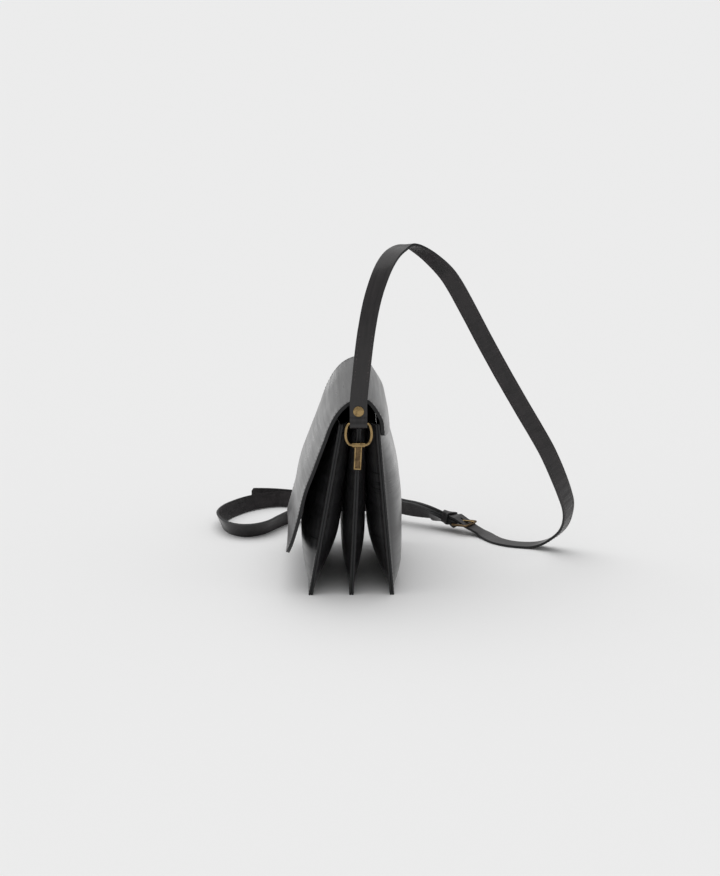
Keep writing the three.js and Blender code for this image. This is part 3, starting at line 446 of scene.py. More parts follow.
def pocketPanel(name, pocket, side, look):
    outside = abs(pocket + side) == 2

    def surface(u, w):
        x = (u * 2 - 1) * halfLength
        z = w * bag["pocketHeight"]
        y = panelMiddle(pocket, side, x, z)
        if outside:  # hand-made leather isn't quite even
            scale = look["waveScale"]
            wave = noise.noise(Vector((x * scale, z * scale, look["waveSeed"] * pocket)))
            y += side * look["unevenness"] * wave * fullnessAlong(x) * math.sin(math.pi * w)
        return (x, y, z), (x * millimetre, z * millimetre)

    materials = [leathers["bagLeather"], leathers["edgePaint"], leathers["bagLining"]]
    if side > 0:
        materials = [leathers["bagLining"], leathers["edgePaint"], leathers["bagLeather"]]
    piece = sheet(name, look["columns"], look["rows"], surface, bag["shownLeather"], look["rounding"],
                  materials)
    return piece


for pocketName, pocket in (("front_pocket", -1), ("middle_pocket", 0), ("back_pocket", 1)):
    for sideName, side in (("front", -1), ("back", 1)):
        node = f"{pocketName}_{sideName}_panel"
        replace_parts(pocketPanel(f"{pocketName}_{sideName}_leather", pocket, side, panelLook), node)
print("pockets made")


# Flap

flap = {
    "leather": 3.2, "top": 188, "hem": 36, "reach": 71.5, "crown": 6, "hemCorner": 22, "lapHeight": 12,
    "lapCorner": 8, "lapGap": 0.75, "drapeShare": 0.55, "columns": 64, "rows": 110, "cornerRows": 12,
    "samples": 800, "rounding": 0.9, "unevenness": 0.7, "rippleScale": (0.022, 0.03), "rippleSeed": 3.3,
    "rippleStart": (0.15, 0.4), "rippleOut": 0.9, "rippleUp": 0.2,
}
apexHeight = flap["top"] - flap["leather"] / 2
flapFront = [
    (0.113, 0.02, 0.1), (0.205, 0.052, 0.25), (0.294, 0.105, 0.45), (0.375, 0.18, 0.7), (0.442, 0.27, 0.85),
    (0.571, 0.435, 0.95), (0.69, 0.585, 0.85), (0.775, 0.75, 0.6), (0.87, 0.91, 0.15), (0.94, 1, -0.35),
]  # reach, drop, crown
flapBack = [(0.96, 0.17), (0.83, 0.4), (0.66, 0.65), (0.45, 0.87), (0.22, 0.975), (0, 1)]  # back, rise


def flapCurve(x):
    foot = bag["pocketHeight"] - flap["lapHeight"]
    points = []
    for part in (0, 0.33, 0.67, 1):
        z = foot + part * flap["lapHeight"]
        points.append(Vector((x, panelFace(1, 1, x, z) + flap["lapGap"] + flap["leather"] / 2, z)))
    top = points[-1].y
    for back, rise in flapBack:
        y = mix(bag["rimLean"], top, back)
        points.append(Vector((x, y, mix(bag["pocketHeight"], apexHeight, rise))))
    for reach, drop, crown in flapFront:
        z = mix(apexHeight, flap["hem"], drop)
        free = bag["rimLean"] - reach * flap["reach"] - crown * flap["crown"] * (1 - (x / halfLength) ** 2)
        over = free
        if z < bag["pocketHeight"]:
            over = panelFace(-1, -1, x, z) - bag["touch"] - flap["leather"] * flap["drapeShare"]
        points.append(Vector((x, min(free, over), z)))
    return points


def roundedHalf(distance, radius):
    depth = radius - min(distance, radius)
    return halfLength - radius + math.sqrt(radius * radius - depth * depth)


def flapRows():
    middle = flapCurve(0)
    samples = [(i / flap["samples"], along(middle, i / flap["samples"])) for i in range(flap["samples"] + 1)]
    lap, hem = samples[0][1], samples[-1][1]
    lapTimes = []
    hemTimes = []
    for i in range(flap["cornerRows"] + 1):
        share = 1 - math.cos(math.pi / 2 * i / flap["cornerRows"])
        lapTimes.append(next(t for t, p in samples if p.z - lap.z >= share * flap["lapCorner"]))
        hemDepth = share * flap["hemCorner"]
        hemTimes.append(next(t for t, p in reversed(samples) if (p - hem).length >= hemDepth))
    between = flap["rows"] - 2 * flap["cornerRows"]
    middleTimes = [mix(lapTimes[-1], hemTimes[-1], i / between) for i in range(1, between)]
    rows = []
    for t in lapTimes + middleTimes + hemTimes[::-1]:
        p = along(middle, t)
        if p.y < bag["rimLean"]:
            half = roundedHalf((p - hem).length, flap["hemCorner"])
        else:
            half = roundedHalf(p.z - lap.z, flap["lapCorner"])
        rows.append((t, half))
    return rows


flapTable = flapRows()
flapCurves = {}


def flapPoint(t, x):
    key = round(x, 3)
    if key not in flapCurves:
        flapCurves[key] = flapCurve(key)
    return along(flapCurves[key], t)


flapStations = 48
flapAcross = [(2 * j / flapStations - 1) * halfLength for j in range(flapStations + 1)]
flapGrid = [[flapPoint(t, x) for x in flapAcross] for t, _ in flapTable]


def flapAt(row, x):
    place = (x / halfLength + 1) / 2 * flapStations
    j = min(max(int(place), 0), flapStations - 1)
    return flapGrid[row][j].lerp(flapGrid[row][j + 1], place - j)


def flapDistances():
    distances = [0]
    for row in range(1, len(flapTable)):
        distances.append(distances[-1] + (flapAt(row, 0) - flapAt(row - 1, 0)).length)
    return distances


flapDown = flapDistances()


def flapSurface(u, w):
    row = min(round(w * (len(flapTable) - 1)), len(flapTable) - 1)
    x = (u * 2 - 1) * flapTable[row][1]
    point = flapAt(row, x)
    drop = flapDown[row] / flapDown[-1]
    acrossScale, downScale = flap["rippleScale"]
    wave = noise.noise(Vector((x * acrossScale, flapDown[row] * downScale, flap["rippleSeed"])))
    ripple = flap["unevenness"] * wave * smoothStep(drop, *flap["rippleStart"])
    shown = (point.x, point.y - abs(ripple) * flap["rippleOut"], point.z + ripple * flap["rippleUp"])
    return shown, (x * millimetre, flapDown[row] * millimetre)


flapMaterials = [leathers["bagLining"], leathers["edgePaint"], leathers["bagLeather"]]
flapPiece = sheet("flap_leather", flap["columns"], len(flapTable) - 1, flapSurface, flap["leather"],
                  flap["rounding"], flapMaterials)
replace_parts(flapPiece, "flap")
print("flap made")


# Straps

strap = {
    "width": 16, "leather": 2.4, "archHeight": 322.5, "reach": 210, "loopReach": 134, "fold": 92,
    "heelFold": 26, "foldSteps": 8, "foldStart": 8, "foldCloses": (0.5, 6.5), "tailGap": 0.8, "wireFit": 0.4,
    "stackEnd": -0.2, "rounding": 0.45, "finer": 3, "spacing": 1.1, "rivetDistance": 12, "rivetHole": 2.3,
    "holeReach": 8, "fromRing": (0, 1, 2, 3, 4, 5, 6.5, 10, 20), "toRing": (26, 20, 13, 6.5, 0),
}
ring = {"wire": 2.6, "width": 26.2, "drop": 19.6, "swing": 28, "barrelLength": 11.7, "barrelDiameter": 4.6,
        "steps": 12, "sides": 18}
buckle = {
    "wire": 2.2, "length": 16.5, "x": -116, "y": 110, "z": 9.5, "turn": 55.6, "rise": 1, "fit": 1.2,
    "corner": 0.7, "approach": 14, "approachLift": 1.6, "approachLean": -0.12, "prong": 1.8, "overhang": 3.5,
    "prongStart": 0.55, "prongTurn": 1.23, "prongRise": 0.6, "prongTip": 0.6, "prongSteps": 72,
    "slotHalf": 1.2, "slotReach": 9, "holeFrom": 0.21, "holeTo": 0.83,
}

archRoute = [
    (0.523, 0.042, 0.645, 1, 0, 0), (0.514, 0.055, 0.723, 1, 0, 0.04), (0.498, 0.07, 0.791, 1, 0, 0.1),
    (0.47, 0.091, 0.857, 1, 0.02, 0.2), (0.431, 0.119, 0.912, 0.88, 0, 0.45),
    (0.389, 0.147, 0.95, 0.7, -0.1, 0.7),
    (0.347, 0.18, 0.977, 0.42, -0.1, 0.9), (0.311, 0.218, 0.992, 0.1, -0.03, 0.99),
    (0.281, 0.254, 0.997, -0.28, 0.05, 0.95), (0.253, 0.302, 0.981, -0.56, 0.15, 0.8),
    (0.224, 0.362, 0.949, -0.77, 0.2, 0.58), (0.197, 0.431, 0.9, -0.93, 0.15, 0.3),
    (0.17, 0.499, 0.824, -0.98, 0.05, 0.05), (0.141, 0.582, 0.72, -0.98, 0, -0.14),
    (0.117, 0.678, 0.604, -0.97, 0, -0.2), (0.086, 0.783, 0.483, -0.97, 0, -0.22),
    (0.048, 0.889, 0.361, -0.96, -0.1, -0.2), (-0.012, 0.952, 0.268, -0.93, -0.3, -0.1),
    (-0.075, 0.988, 0.206, -0.85, -0.5, 0), (-0.13, 1.009, 0.16, -0.74, -0.66, 0.08),
    (-0.187, 1.012, 0.114, -0.58, -0.78, 0.2), (-0.235, 0.998, 0.074, -0.42, -0.72, 0.5),
    (-0.276, 0.965, 0.042, -0.26, -0.5, 0.83), (-0.311, 0.919, 0.0165, -0.08, -0.2, 0.97),
    (-0.339, 0.866, 0.003, 0, -0.05, 1), (-0.358, 0.814, 0, 0, 0, 1), (-0.387, 0.753, 0, 0, 0, 1),
    (-0.455, 0.694, 0, 0, 0, 1),
]  # along, across, up, face x, y, z
loopRoute = [
    (-0.785, 0.336, 0.5, -0.82, 0.45, 0.42), (-0.82, 0.284, 0.52, -0.84, 0.5, 0.36),
    (-0.853, 0.245, 0.53, -0.84, 0.5, 0.34), (-0.907, 0.173, 0.458, -0.85, 0.48, 0.26),
    (-0.989, 0.08, 0.294, -0.88, 0.44, 0.14), (-1.064, -0.049, 0.14, -0.92, 0.38, 0),
    (-1.127, -0.218, 0, -0.94, 0.3, -0.14), (-1.171, -0.376, 0, -0.94, 0.17, -0.26),
    (-1.189, -0.491, 0, -0.94, 0, -0.32), (-1.184, -0.576, 0, -0.92, -0.2, -0.33),
    (-1.153, -0.667, 0, -0.82, -0.47, -0.33), (-1.095, -0.769, 0, -0.63, -0.7, -0.33),
    (-1.004, -0.868, 0, -0.44, -0.83, -0.34), (-0.91, -0.935, 0, -0.25, -0.91, -0.34),
    (-0.791, -0.966, 0, 0.08, -0.93, -0.36), (-0.685, -0.941, 0, 0.42, -0.82, -0.4),
    (-0.597, -0.88, 0, 0.72, -0.54, -0.45), (-0.551, -0.783, 0, 0.89, -0.08, -0.46),
    (-0.564, -0.694, 0, 0.83, 0.36, -0.45), (-0.613, -0.615, 0, 0.66, 0.63, -0.42),
    (-0.699, -0.546, 0, 0.55, 0.76, -0.38), (-0.788, -0.473, 0, 0.56, 0.76, -0.35),
    (-0.862, -0.375, 0.104, 0.72, 0.62, -0.34), (-0.897, -0.264, 0.402, 0.88, 0.35, -0.32),
]  # along, across, lift, face x, y, z
riseRoute = [
    (-0.06, 0.25, 0.17, 0.94, 0.1, -0.33), (0.05, 0.48, 0.38, 0.92, -0.02, -0.38),
    (0.28, 0.7, 0.6, 0.9, -0.03, -0.44), (0.58, 0.88, 0.8, 0.89, 0, -0.46),
]  # along, across, up, face x, y, z
tailRoute = [
    (-1.176, -0.286, 0, -0.97, 0.25, -0.05), (-1.233, -0.455, 0, -0.99, 0.12, -0.1),
    (-1.262, -0.594, 0, -1, 0.03, -0.12), (-1.271, -0.744, 0, -1, 0, -0.12),
]  # along, across, lift, face x, y, z


def vectorOf(row):
    return Vector(row[3:6])


def routePoint(row):
    reach = strap["reach"] if row[1] > 0 else strap["loopReach"]
    lean = abs(vectorOf(row).normalized().z)
    resting = (strap["width"] * math.sqrt(1 - lean * lean) + strap["leather"] * lean) / 2
    z = resting + bag["touch"] / 2 + row[2] * strap["width"]
    return Vector((row[0] * bag["length"], row[1] * reach, z))


# A station is a place along a strap: its middle, its direction and the way the grain side faces

def stationAt(points, faces, t):
    return along(points, t), heading(points, t), along(faces, t, False).normalized()


def stationsAlong(points, faces, stepsEach, fineSpans=0):
    spans = len(points) - 1
    times = []
    for span in range(spans):
        steps = 3 * stepsEach if span < fineSpans else stepsEach
        times += [(span + i / steps) / spans for i in range(steps)]
    return [stationAt(points, faces, t) for t in times + [1]]


def stationsBetween(points, faces, before, after, stepsEach):
    points, faces = list(points), list(faces)
    if before:
        points = [before[-4][0], before[-1][0]] + points
        faces = [before[-4][2], before[-1][2]] + faces
    if after:
        points += [after[0][0], after[3][0]]
        faces += [after[0][2], after[3][2]]
    stations = stationsAlong(points, faces, stepsEach)
    return stations[stepsEach + 1 if before else 0:(len(points) - 2) * stepsEach if after else len(stations)]


def squareUp(station):
    point, tangent, face = station
    return point, tangent, (face - tangent * face.dot(tangent)).normalized()


def foldSpread(distance, radius):
    return mix(2 * radius, strap["leather"] + bag["touch"], smoothStep(distance, *strap["foldCloses"]))


def foldedLayer(main, fitting, radius, length):
    bar, away, grain = (fitting[key] for key in ("bar", "away", "grain"))
    stations = []
    travelled = 0
    for i, station in enumerate(main):
        if travelled >= length:
            break
        if i > 0:
            travelled += (station[0] - main[i - 1][0]).length
        distance = (station[0] - bar).dot(away)
        point, tangent, face = station if travelled < strap["foldStart"] else squareUp(station)
        stations.insert(0, (point - face * foldSpread(distance, radius), -tangent, -face))
    for i in range(1, strap["foldSteps"]):
        angle = math.pi * i / strap["foldSteps"]
        outward = -grain * math.cos(angle) - away * math.sin(angle)
        tangent = grain * math.sin(angle) - away * math.cos(angle)
        stations.append((bar + outward * radius, tangent, outward))
    return stations


def reverse(stations):
    return [(point, -tangent, face) for point, tangent, face in reversed(stations)]


def refined(stations, finer):
    points, faces = [s[0] for s in stations], [s[2] for s in stations]
    steps = finer * (len(stations) - 1)
    kept = [0]
    for t in [i / steps for i in range(steps + 1)]:
        if (along(points, t) - along(points, kept[-1])).length > strap["spacing"]:
            kept.append(t)
    kept[-1] = 1
    return [squareUp(stationAt(points, faces, t)) for t in kept]


ringOut = bag["touch"] + strap["leather"] * 1.08 + 2 * strap["wireFit"] + ring["wire"] / 2
foldRadius = ring["wire"] / 2 + strap["wireFit"] + strap["leather"] / 2


def ringAt(end):
    angle = 0 if end > 0 else math.radians(180 - ring["swing"])
    height = bag["barrelHeight"]
    barrel = Vector((end * (halfLength + ringOut), seamLine(0, height), height))
    away = Vector((end * math.sin(angle), 0, math.cos(angle)))
    grain = Vector((end * math.cos(angle), 0, -math.sin(angle)))
    bar = barrel + away * ring["drop"]
    return {"barrel": barrel, "away": away, "grain": grain, "angle": angle, "bar": bar}


nearRing, farRing = ringAt(1), ringAt(-1)
closedOffset = strap["leather"] + bag["touch"] - foldRadius
buckleOut = Vector((math.cos(math.radians(buckle["turn"])), math.sin(math.radians(buckle["turn"])), 0))
buckleUp = Vector((0, 0, 1))
buckleSide = buckleOut.cross(buckleUp)
heelBar = Vector((buckle["x"], buckle["y"], buckle["z"]))
heel = {"bar": heelBar, "away": -buckleOut, "grain": buckleUp}
heelRadius = buckle["wire"] / 2 + strap["wireFit"] + strap["leather"] / 2
underFront = buckle["rise"] - buckle["wire"] / 2 - strap["wireFit"] - strap["leather"] / 2
overHeel = heelRadius + strap["leather"] + strap["tailGap"]


def atBuckle(out, up):
    return heelBar + buckleOut * out + buckleUp * up


def buckleStrapMain():
    # level over the heel bar, then leaning into the loop
    points = [atBuckle(0, heelRadius), atBuckle(-5, heelRadius), atBuckle(-11, heelRadius + 0.6)]
    faces = [buckleUp.copy(), Vector((-0.12, 0.06, 1)), Vector((-0.3, 0.18, 0.95))]
    points += [routePoint(row) for row in loopRoute]
    faces += [vectorOf(row) for row in loopRoute]
    start = points[-1]
    target = farRing["bar"] + farRing["grain"] * foldRadius
    for row in riseRoute:
        points.append(Vector([mix(start[k], target[k], row[k]) for k in range(3)]))
        faces.append(vectorOf(row))
    for distance in strap["toRing"]:
        points.append(target + farRing["away"] * distance)
        faces.append(farRing["grain"].copy())
    return stationsAlong(points, faces, stepsEach=3, fineSpans=4)


def holeStrapMain():
    points = []
    for distance in strap["fromRing"]:
        spread = foldSpread(distance, foldRadius) - foldRadius
        points.append(nearRing["bar"] + nearRing["away"] * distance + nearRing["grain"] * spread)
    faces = [nearRing["grain"].copy() for _ in points]
    archRise = strap["archHeight"] - strap["leather"] / 2
    for row in archRoute:
        point = routePoint(row)
        point.z = (strap["leather"] + bag["touch"]) / 2 + row[2] * archRise
        points.append(point)
        faces.append(vectorOf(row))
    approachUp = strap["leather"] / 2 + buckle["approachLift"] - buckle["z"]
    approach = [(buckle["length"] + buckle["approach"], approachUp), (buckle["length"], underFront),
                (buckle["length"] / 2, (underFront + overHeel) / 2)]
    for out, up in approach:
        points.append(atBuckle(out, up))
        faces.append(Vector((buckle["approachLean"] if out > buckle["length"] else 0, 0, 1)))
    stacked = []
    for point, tangent, face in [squareUp(station) for station in buckleMain]:
        if point.y < strap["stackEnd"] * strap["loopReach"]:
            break
        stacked.append((point + face * (strap["leather"] + strap["tailGap"]), tangent, face))
    lead = stationsBetween(points, faces, None, stacked, 2)
    tailPoints, tailFaces = [routePoint(row) for row in tailRoute], [vectorOf(row) for row in tailRoute]
    tail = stationsBetween(tailPoints, tailFaces, stacked, None, 4)
    return lead + stacked + tail


buckleMain = buckleStrapMain()
holeMain = holeStrapMain()
print("strap routes made")

strapColumns = [-8, -7, -5, -3, -1.2, 1.2, 3, 5, 7, 8]
tipCorner = 3


def rivetPlace(fitting, mainOffset):
    middle = mainOffset - (strap["leather"] + bag["touch"]) / 2
    return fitting["bar"] + fitting["away"] * strap["rivetDistance"] + fitting["grain"] * middle


crease = {"distance": 6.8, "width": 1.1, "depth": 0.45, "within": 30}


def pressed(station):
    # the doubled strap is pinched between its rivet and its ring, which leaves a crease across it
    point, tangent, face = station
    for fitting in (nearRing, farRing):
        close = (point - fitting["bar"]).length < crease["within"]
        if close and face.dot(fitting["grain"]) > 0:
            place = (point - fitting["bar"]).dot(fitting["away"])
            dip = crease["depth"] * math.exp(-((place - crease["distance"]) / crease["width"]) ** 2)
            point = point - face * dip
    return point, tangent, face


def bandPiece(name, base, holes, materials):
    # holes are tests on a place in millimetres that is left open in the band
    stations = [pressed(station) for station in refined(base, strap["finer"])]
    travelled = [0]
    for a, b in zip(stations, stations[1:]):
        travelled.append(travelled[-1] + (b[0] - a[0]).length)
    last = len(stations) - 1
    columns = len(strapColumns) - 1

    def place(u, w):
        i = min(round(w * last), last)
        point, tangent, face = stations[i]
        side = strapColumns[min(round(u * columns), columns)]
        toEnd = min(travelled[i], travelled[last] - travelled[i], tipCorner)
        shrink = tipCorner - math.sqrt(tipCorner ** 2 - (tipCorner - toEnd) ** 2)
        reach = strap["width"] / 2
        return point + tangent.cross(face) * side * (reach - shrink) / reach, i, side

    def surface(u, w):
        point, i, side = place(u, w)
        return point, (side * millimetre, travelled[i] * millimetre)

    def skip(u, w):
        k, i = min(int(u * columns), columns - 1), min(int(w * last), last - 1)
        middle = sum((place(a / columns, b / last)[0] for a in (k, k + 1) for b in (i, i + 1)), Vector()) / 4
        return any(hole(middle) for hole in holes)

    piece = sheet(name, columns, last, surface, strap["leather"], strap["rounding"], materials, skip)
    return piece, travelled[-1]


def roundHole(centre, axis, radius):
    def inside(p):
        deep = abs((p - centre).dot(axis))
        return (p - centre).cross(axis).length < radius and deep < strap["holeReach"]
    return inside


def slotHole(low, high):
    def inside(p):
        out = (p - heelBar).dot(buckleOut)
        across = abs((p - heelBar).dot(buckleSide))
        deep = abs(p.z - heelBar.z)
        return low < out < high and across < buckle["slotHalf"] and deep < buckle["slotReach"]
    return inside


strapMaterials = [leathers["strapGrain"], leathers["edgePaint"], leathers["strapLining"]]
nearFold = foldedLayer(holeMain, nearRing, foldRadius, strap["fold"])
holeHoles = [roundHole(rivetPlace(nearRing, closedOffset), nearRing["grain"], strap["rivetHole"]),
             slotHole(buckle["holeFrom"] * buckle["length"], buckle["holeTo"] * buckle["length"])]
holePiece, holeLength = bandPiece("hole_strap_leather", nearFold + holeMain, holeHoles, strapMaterials)
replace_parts(holePiece, "hole_strap")

heelFold = foldedLayer(buckleMain, heel, heelRadius, strap["heelFold"])
farMain = reverse(buckleMain)
farFold = reverse(foldedLayer(farMain, farRing, foldRadius, strap["fold"]))
heelSlot = heelRadius + bag["touch"]
buckleHoles = [roundHole(rivetPlace(farRing, foldRadius), farRing["grain"], strap["rivetHole"]),
               slotHole(heelSlot - buckle["length"] / 2, heelSlot + buckle["length"] / 2)]
buckleRoute = heelFold + buckleMain + farFold
bucklePiece, _ = bandPiece("buckle_strap_leather", buckleRoute, buckleHoles, strapMaterials)
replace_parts(bucklePiece, "buckle_strap")
print("straps made")

keeper = {"distance": 10.5, "width": 9, "leather": 1.6, "fit": 0.6, "around": 48, "rounding": 0.4,
          "squareness": 7}


def keeperPiece(look):
    travelled = 0
    stations = []
    for before, station in zip(buckleMain, buckleMain[1:]):
        travelled += (station[0] - before[0]).length
        if abs(travelled - look["distance"]) <= look["width"] / 2:
            stations.append(squareUp(station))
    half = strap["width"] / 2 + look["fit"] + look["leather"] / 2
    above = strap["leather"] * 1.5 + strap["tailGap"] + look["fit"] + look["leather"] / 2
    below = strap["leather"] * 1.5 + bag["touch"] + look["fit"] + look["leather"] / 2
    middle, high = (above - below) / 2, (above + below) / 2

    def surface(u, w):
        point, tangent, face = stations[min(round(w * (len(stations) - 1)), len(stations) - 1)]
        angle = math.tau * u
        c, s = math.cos(angle), math.sin(angle)
        reach = (abs(c) ** look["squareness"] + abs(s) ** look["squareness"]) ** (-1 / look["squareness"])
        side, up = half * reach * c, middle + high * reach * s
        flat = (angle * look["width"] * millimetre, w * look["width"] * millimetre)
        return point + tangent.cross(face) * side + face * up, flat

    piece = sheet("keeper_leather", look["around"], len(stations) - 1, surface, look["leather"],
                  look["rounding"], strapMaterials, closed=True)
    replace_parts(piece, "keeper_loop")


keeperPiece(keeper)
print("keeper made")


# Metal

def metalPiece(name, bm, node, materials, smooth=40, rounding=0):
    piece = finishPiece(name, bm, materials, smooth)
    if rounding:
        edge = piece.modifiers.new("edge", "BEVEL")
        edge.width, edge.segments, edge.limit_method = rounding * millimetre, 3, "ANGLE"
        edge.angle_limit = math.radians(40)
        edge.harden_normals = True
    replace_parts(piece, node)
    return piece


def ringOutline(steps):
    half = (ring["width"] - ring["wire"]) / 2
    topHalf, bottomHalf = strap["width"] / 2 + strap["wireFit"], ring["barrelLength"] / 2 + strap["wireFit"]
    middle = ring["drop"] / 2
    points = []
    for start, flat in ((0, topHalf), (1, -topHalf), (2, -bottomHalf), (3, bottomHalf)):
        for i in range(steps + 1):
            angle = math.pi / 2 * (start + i / steps)
            reach = half - abs(flat)
            points.append(Vector((0, flat + reach * math.cos(angle), middle + middle * math.sin(angle))))
    return points


def endRing(name, end, fitting):
    turn = Matrix.Rotation(end * fitting["angle"], 3, "Y")
    points = [toFrame(turn @ p + fitting["barrel"]) for p in ringOutline(ring["steps"])]
    faces = [turn @ Vector((1, 0, 0))] * len(points)
    bm = bmesh.new()
    wire(bm, points, faces, ring["wire"] / 2 * millimetre, ring["sides"], True)
    metalPiece(f"{name}_ring_wire", bm, f"{name}_ring", [antiqueBrass], 60)


clip = {"height": 24, "thickness": 2.6, "cheek": 1.05, "grip": 3.6, "recess": 1.7, "recessDepth": 0.7,
        "recessSlope": 0.4, "play": 0.1, "rounding": 0.18}


def endClip(name, end, fitting, look):
    slot = 2 * bag["pocketLeather"] + bag["sewnGap"] + 2 * bag["touch"] + look["play"]
    width = slot + 2 * look["cheek"]
    face = bag["touch"] - ringOut
    bm = bmesh.new()
    bmesh.ops.create_cube(bm, size=1)
    for v in bm.verts:
        x = face + (v.co.x + 0.5) * look["thickness"]
        v.co = Vector((x, v.co.y * width, (v.co.z - 0.5) * look["height"]))
    front = [f for f in bm.faces if f.calc_center_median().x > face + look["thickness"] * 0.9]
    bmesh.ops.inset_region(bm, faces=front, thickness=look["recess"], depth=0)
    sides = bmesh.ops.inset_region(bm, faces=front, thickness=look["recessSlope"],
                                   depth=-look["recessDepth"])
    for f in set(front) | set(sides["faces"]):
        f.material_index = 1
    bm.normal_update()
    for y in (-slot / 2, slot / 2):
        whole = bm.verts[:] + bm.edges[:] + bm.faces[:]
        bmesh.ops.bisect_plane(bm, geom=whole, plane_co=(0, y, 0), plane_no=(0, 1, 0))
    cheeks = [f for f in bm.faces if f.normal.x < -0.9 and abs(f.calc_center_median().y) > slot / 2]
    for cheek in cheeks:
        grown = bmesh.ops.extrude_face_region(bm, geom=[cheek])
        for v in grown["geom"]:
            if isinstance(v, bmesh.types.BMVert):
                v.co.x -= look["grip"]
        bmesh.ops.delete(bm, geom=[cheek], context="FACES_ONLY")
    lean = Matrix.Rotation(-end * math.atan(bag["rimLean"] / bag["pocketHeight"]), 3, "X")
    for v in bm.verts:
        v.co = lean @ v.co
    body = bm.verts[:]
    bore = ring["wire"] / 2 + strap["wireFit"]
    outer, half = ring["barrelDiameter"] / 2, ring["barrelLength"] / 2
    turned(bm, [(bore, -half), (outer, -half), (outer, half), (bore, half)], True, 32)
    onY = Matrix.Rotation(math.pi / 2, 3, "X")
    for v in bm.verts:
        if v not in body:
            v.co = onY @ v.co
    flip = Matrix.Rotation(math.pi, 3, "Z") if end < 0 else Matrix.Identity(3)
    for v in bm.verts:
        v.co = toFrame(flip @ v.co + fitting["barrel"])
    bmesh.ops.recalc_face_normals(bm, faces=bm.faces)
    metalPiece(f"{name}_clip_body", bm, f"{name}_clip", [antiqueBrass, darkBrass], 35, look["rounding"])


rivet = {"head": 10, "dome": 1.8, "domeSteps": 12, "rim": 0.2, "rimBevel": 0.15, "post": 3.2, "cap": 8.4,
         "capThickness": 1, "capRim": 0.5, "capBevel": 0.4}


def rivetPiece(name, fitting, offset, look):
    reach = strap["leather"] + bag["touch"] / 2 + strap["wireFit"]
    head, post, cap = look["head"] / 2, look["post"] / 2, look["cap"] / 2
    rim = look["rim"]
    profile = [(0, -reach - look["capThickness"]), (cap - look["capBevel"], -reach - look["capThickness"]),
               (cap, -reach - look["capRim"]), (cap, -reach), (post, -reach), (post, reach),
               (head - look["rimBevel"], reach), (head, reach + rim)]
    for i in range(1, look["domeSteps"]):
        angle = math.pi / 2 * i / look["domeSteps"]
        profile.append((head * math.cos(angle), reach + rim + (look["dome"] - rim) * math.sin(angle)))
    profile.append((0, reach + look["dome"]))
    bm = bmesh.new()
    turned(bm, profile, False, 40)
    axis = fitting["grain"]
    side = axis.cross(Vector((0, 1, 0))).normalized()
    placeMesh(bm, side, axis.cross(side), axis, rivetPlace(fitting, offset))
    bmesh.ops.recalc_face_normals(bm, faces=bm.faces)
    metalPiece(f"{name}_rivet_dome", bm, f"{name}_rivet", [antiqueBrass], 40)


for endName, end, fitting, offset in (("near", 1, nearRing, closedOffset), ("far", -1, farRing, foldRadius)):
    endRing(endName, end, fitting)
    endClip(endName, end, fitting, clip)
    rivetPiece(endName, fitting, offset, rivet)
print("rings, clips and rivets made")


def fromBuckle(out, side, up):
    return toFrame(heelBar + buckleOut * out - buckleSide * side + buckleUp * up)


def buckleFrame(look):
    half = strap["width"] / 2 + look["fit"] + look["wire"] / 2
    corner = look["wire"] * look["corner"]
    tilt = math.atan(look["rise"] / look["length"])
    points = []
    for out, side, quarter in ((look["length"] - corner, half - corner, 0), (corner, half - corner, 1),
                               (corner, -half + corner, 2), (look["length"] - corner, -half + corner, 3)):
        for i in range(9):
            angle = math.pi / 2 * (quarter + i / 8)
            reach = out + corner * math.cos(angle)
            across = side + corner * math.sin(angle)
            points.append(fromBuckle(reach * math.cos(tilt), across, reach * math.sin(tilt)))
    bm = bmesh.new()
    wire(bm, points, [buckleUp] * len(points), look["wire"] / 2 * millimetre, 16, True)
    metalPiece("buckle_frame_wire", bm, "buckle_frame", [darkBrass], 60)


def buckleProng(look):
    wrap = look["wire"] / 2 + strap["wireFit"] + look["prong"] / 2
    rest = look["rise"] + look["wire"] / 2 + bag["touch"] + look["prong"] / 2
    path = []
    for i in range(13):
        angle = -math.pi * look["prongStart"] - math.pi * look["prongTurn"] * i / 12
        path.append(Vector((wrap * math.cos(angle), 0, wrap * math.sin(angle))))
    path += [Vector((look["length"] / 2, 0, mix(wrap, rest, look["prongRise"]))),
             Vector((look["length"], 0, rest)),
             Vector((look["length"] + look["overhang"] - look["prongTip"], 0, rest))]
    steps = look["prongSteps"]
    points = [along(path, i / steps) for i in range(steps + 1)]
    points = [fromBuckle(*p) for p in points]
    radii = [look["prong"] / 2 * millimetre] * len(points)
    end = fromBuckle(look["length"] + look["overhang"], 0, rest)
    beyond = (end - points[-1]).normalized()
    for share in (0.35, 0.7, 0.95):
        points.append(points[steps] + beyond * look["prongTip"] * millimetre * share)
        radii.append(look["prong"] / 2 * millimetre * math.sqrt(1 - share * share))
    bm = bmesh.new()
    wire(bm, points, [buckleSide] * len(points), radii, 14)
    metalPiece("buckle_prong_pin", bm, "buckle_prong", [antiqueBrass], 60)


buckleFrame(buckle)
buckleProng(buckle)
print("buckle made")


# Stitches: small ovals of thread lying half in the leather

stitch = {"pitch": 3.7, "length": 2.5, "thick": 0.8, "flatness": 0.8, "inset": 2.1, "flapInset": 3,
          "strapInset": 2.2, "sink": 0.05, "step": 2, "hemSteps": 40}


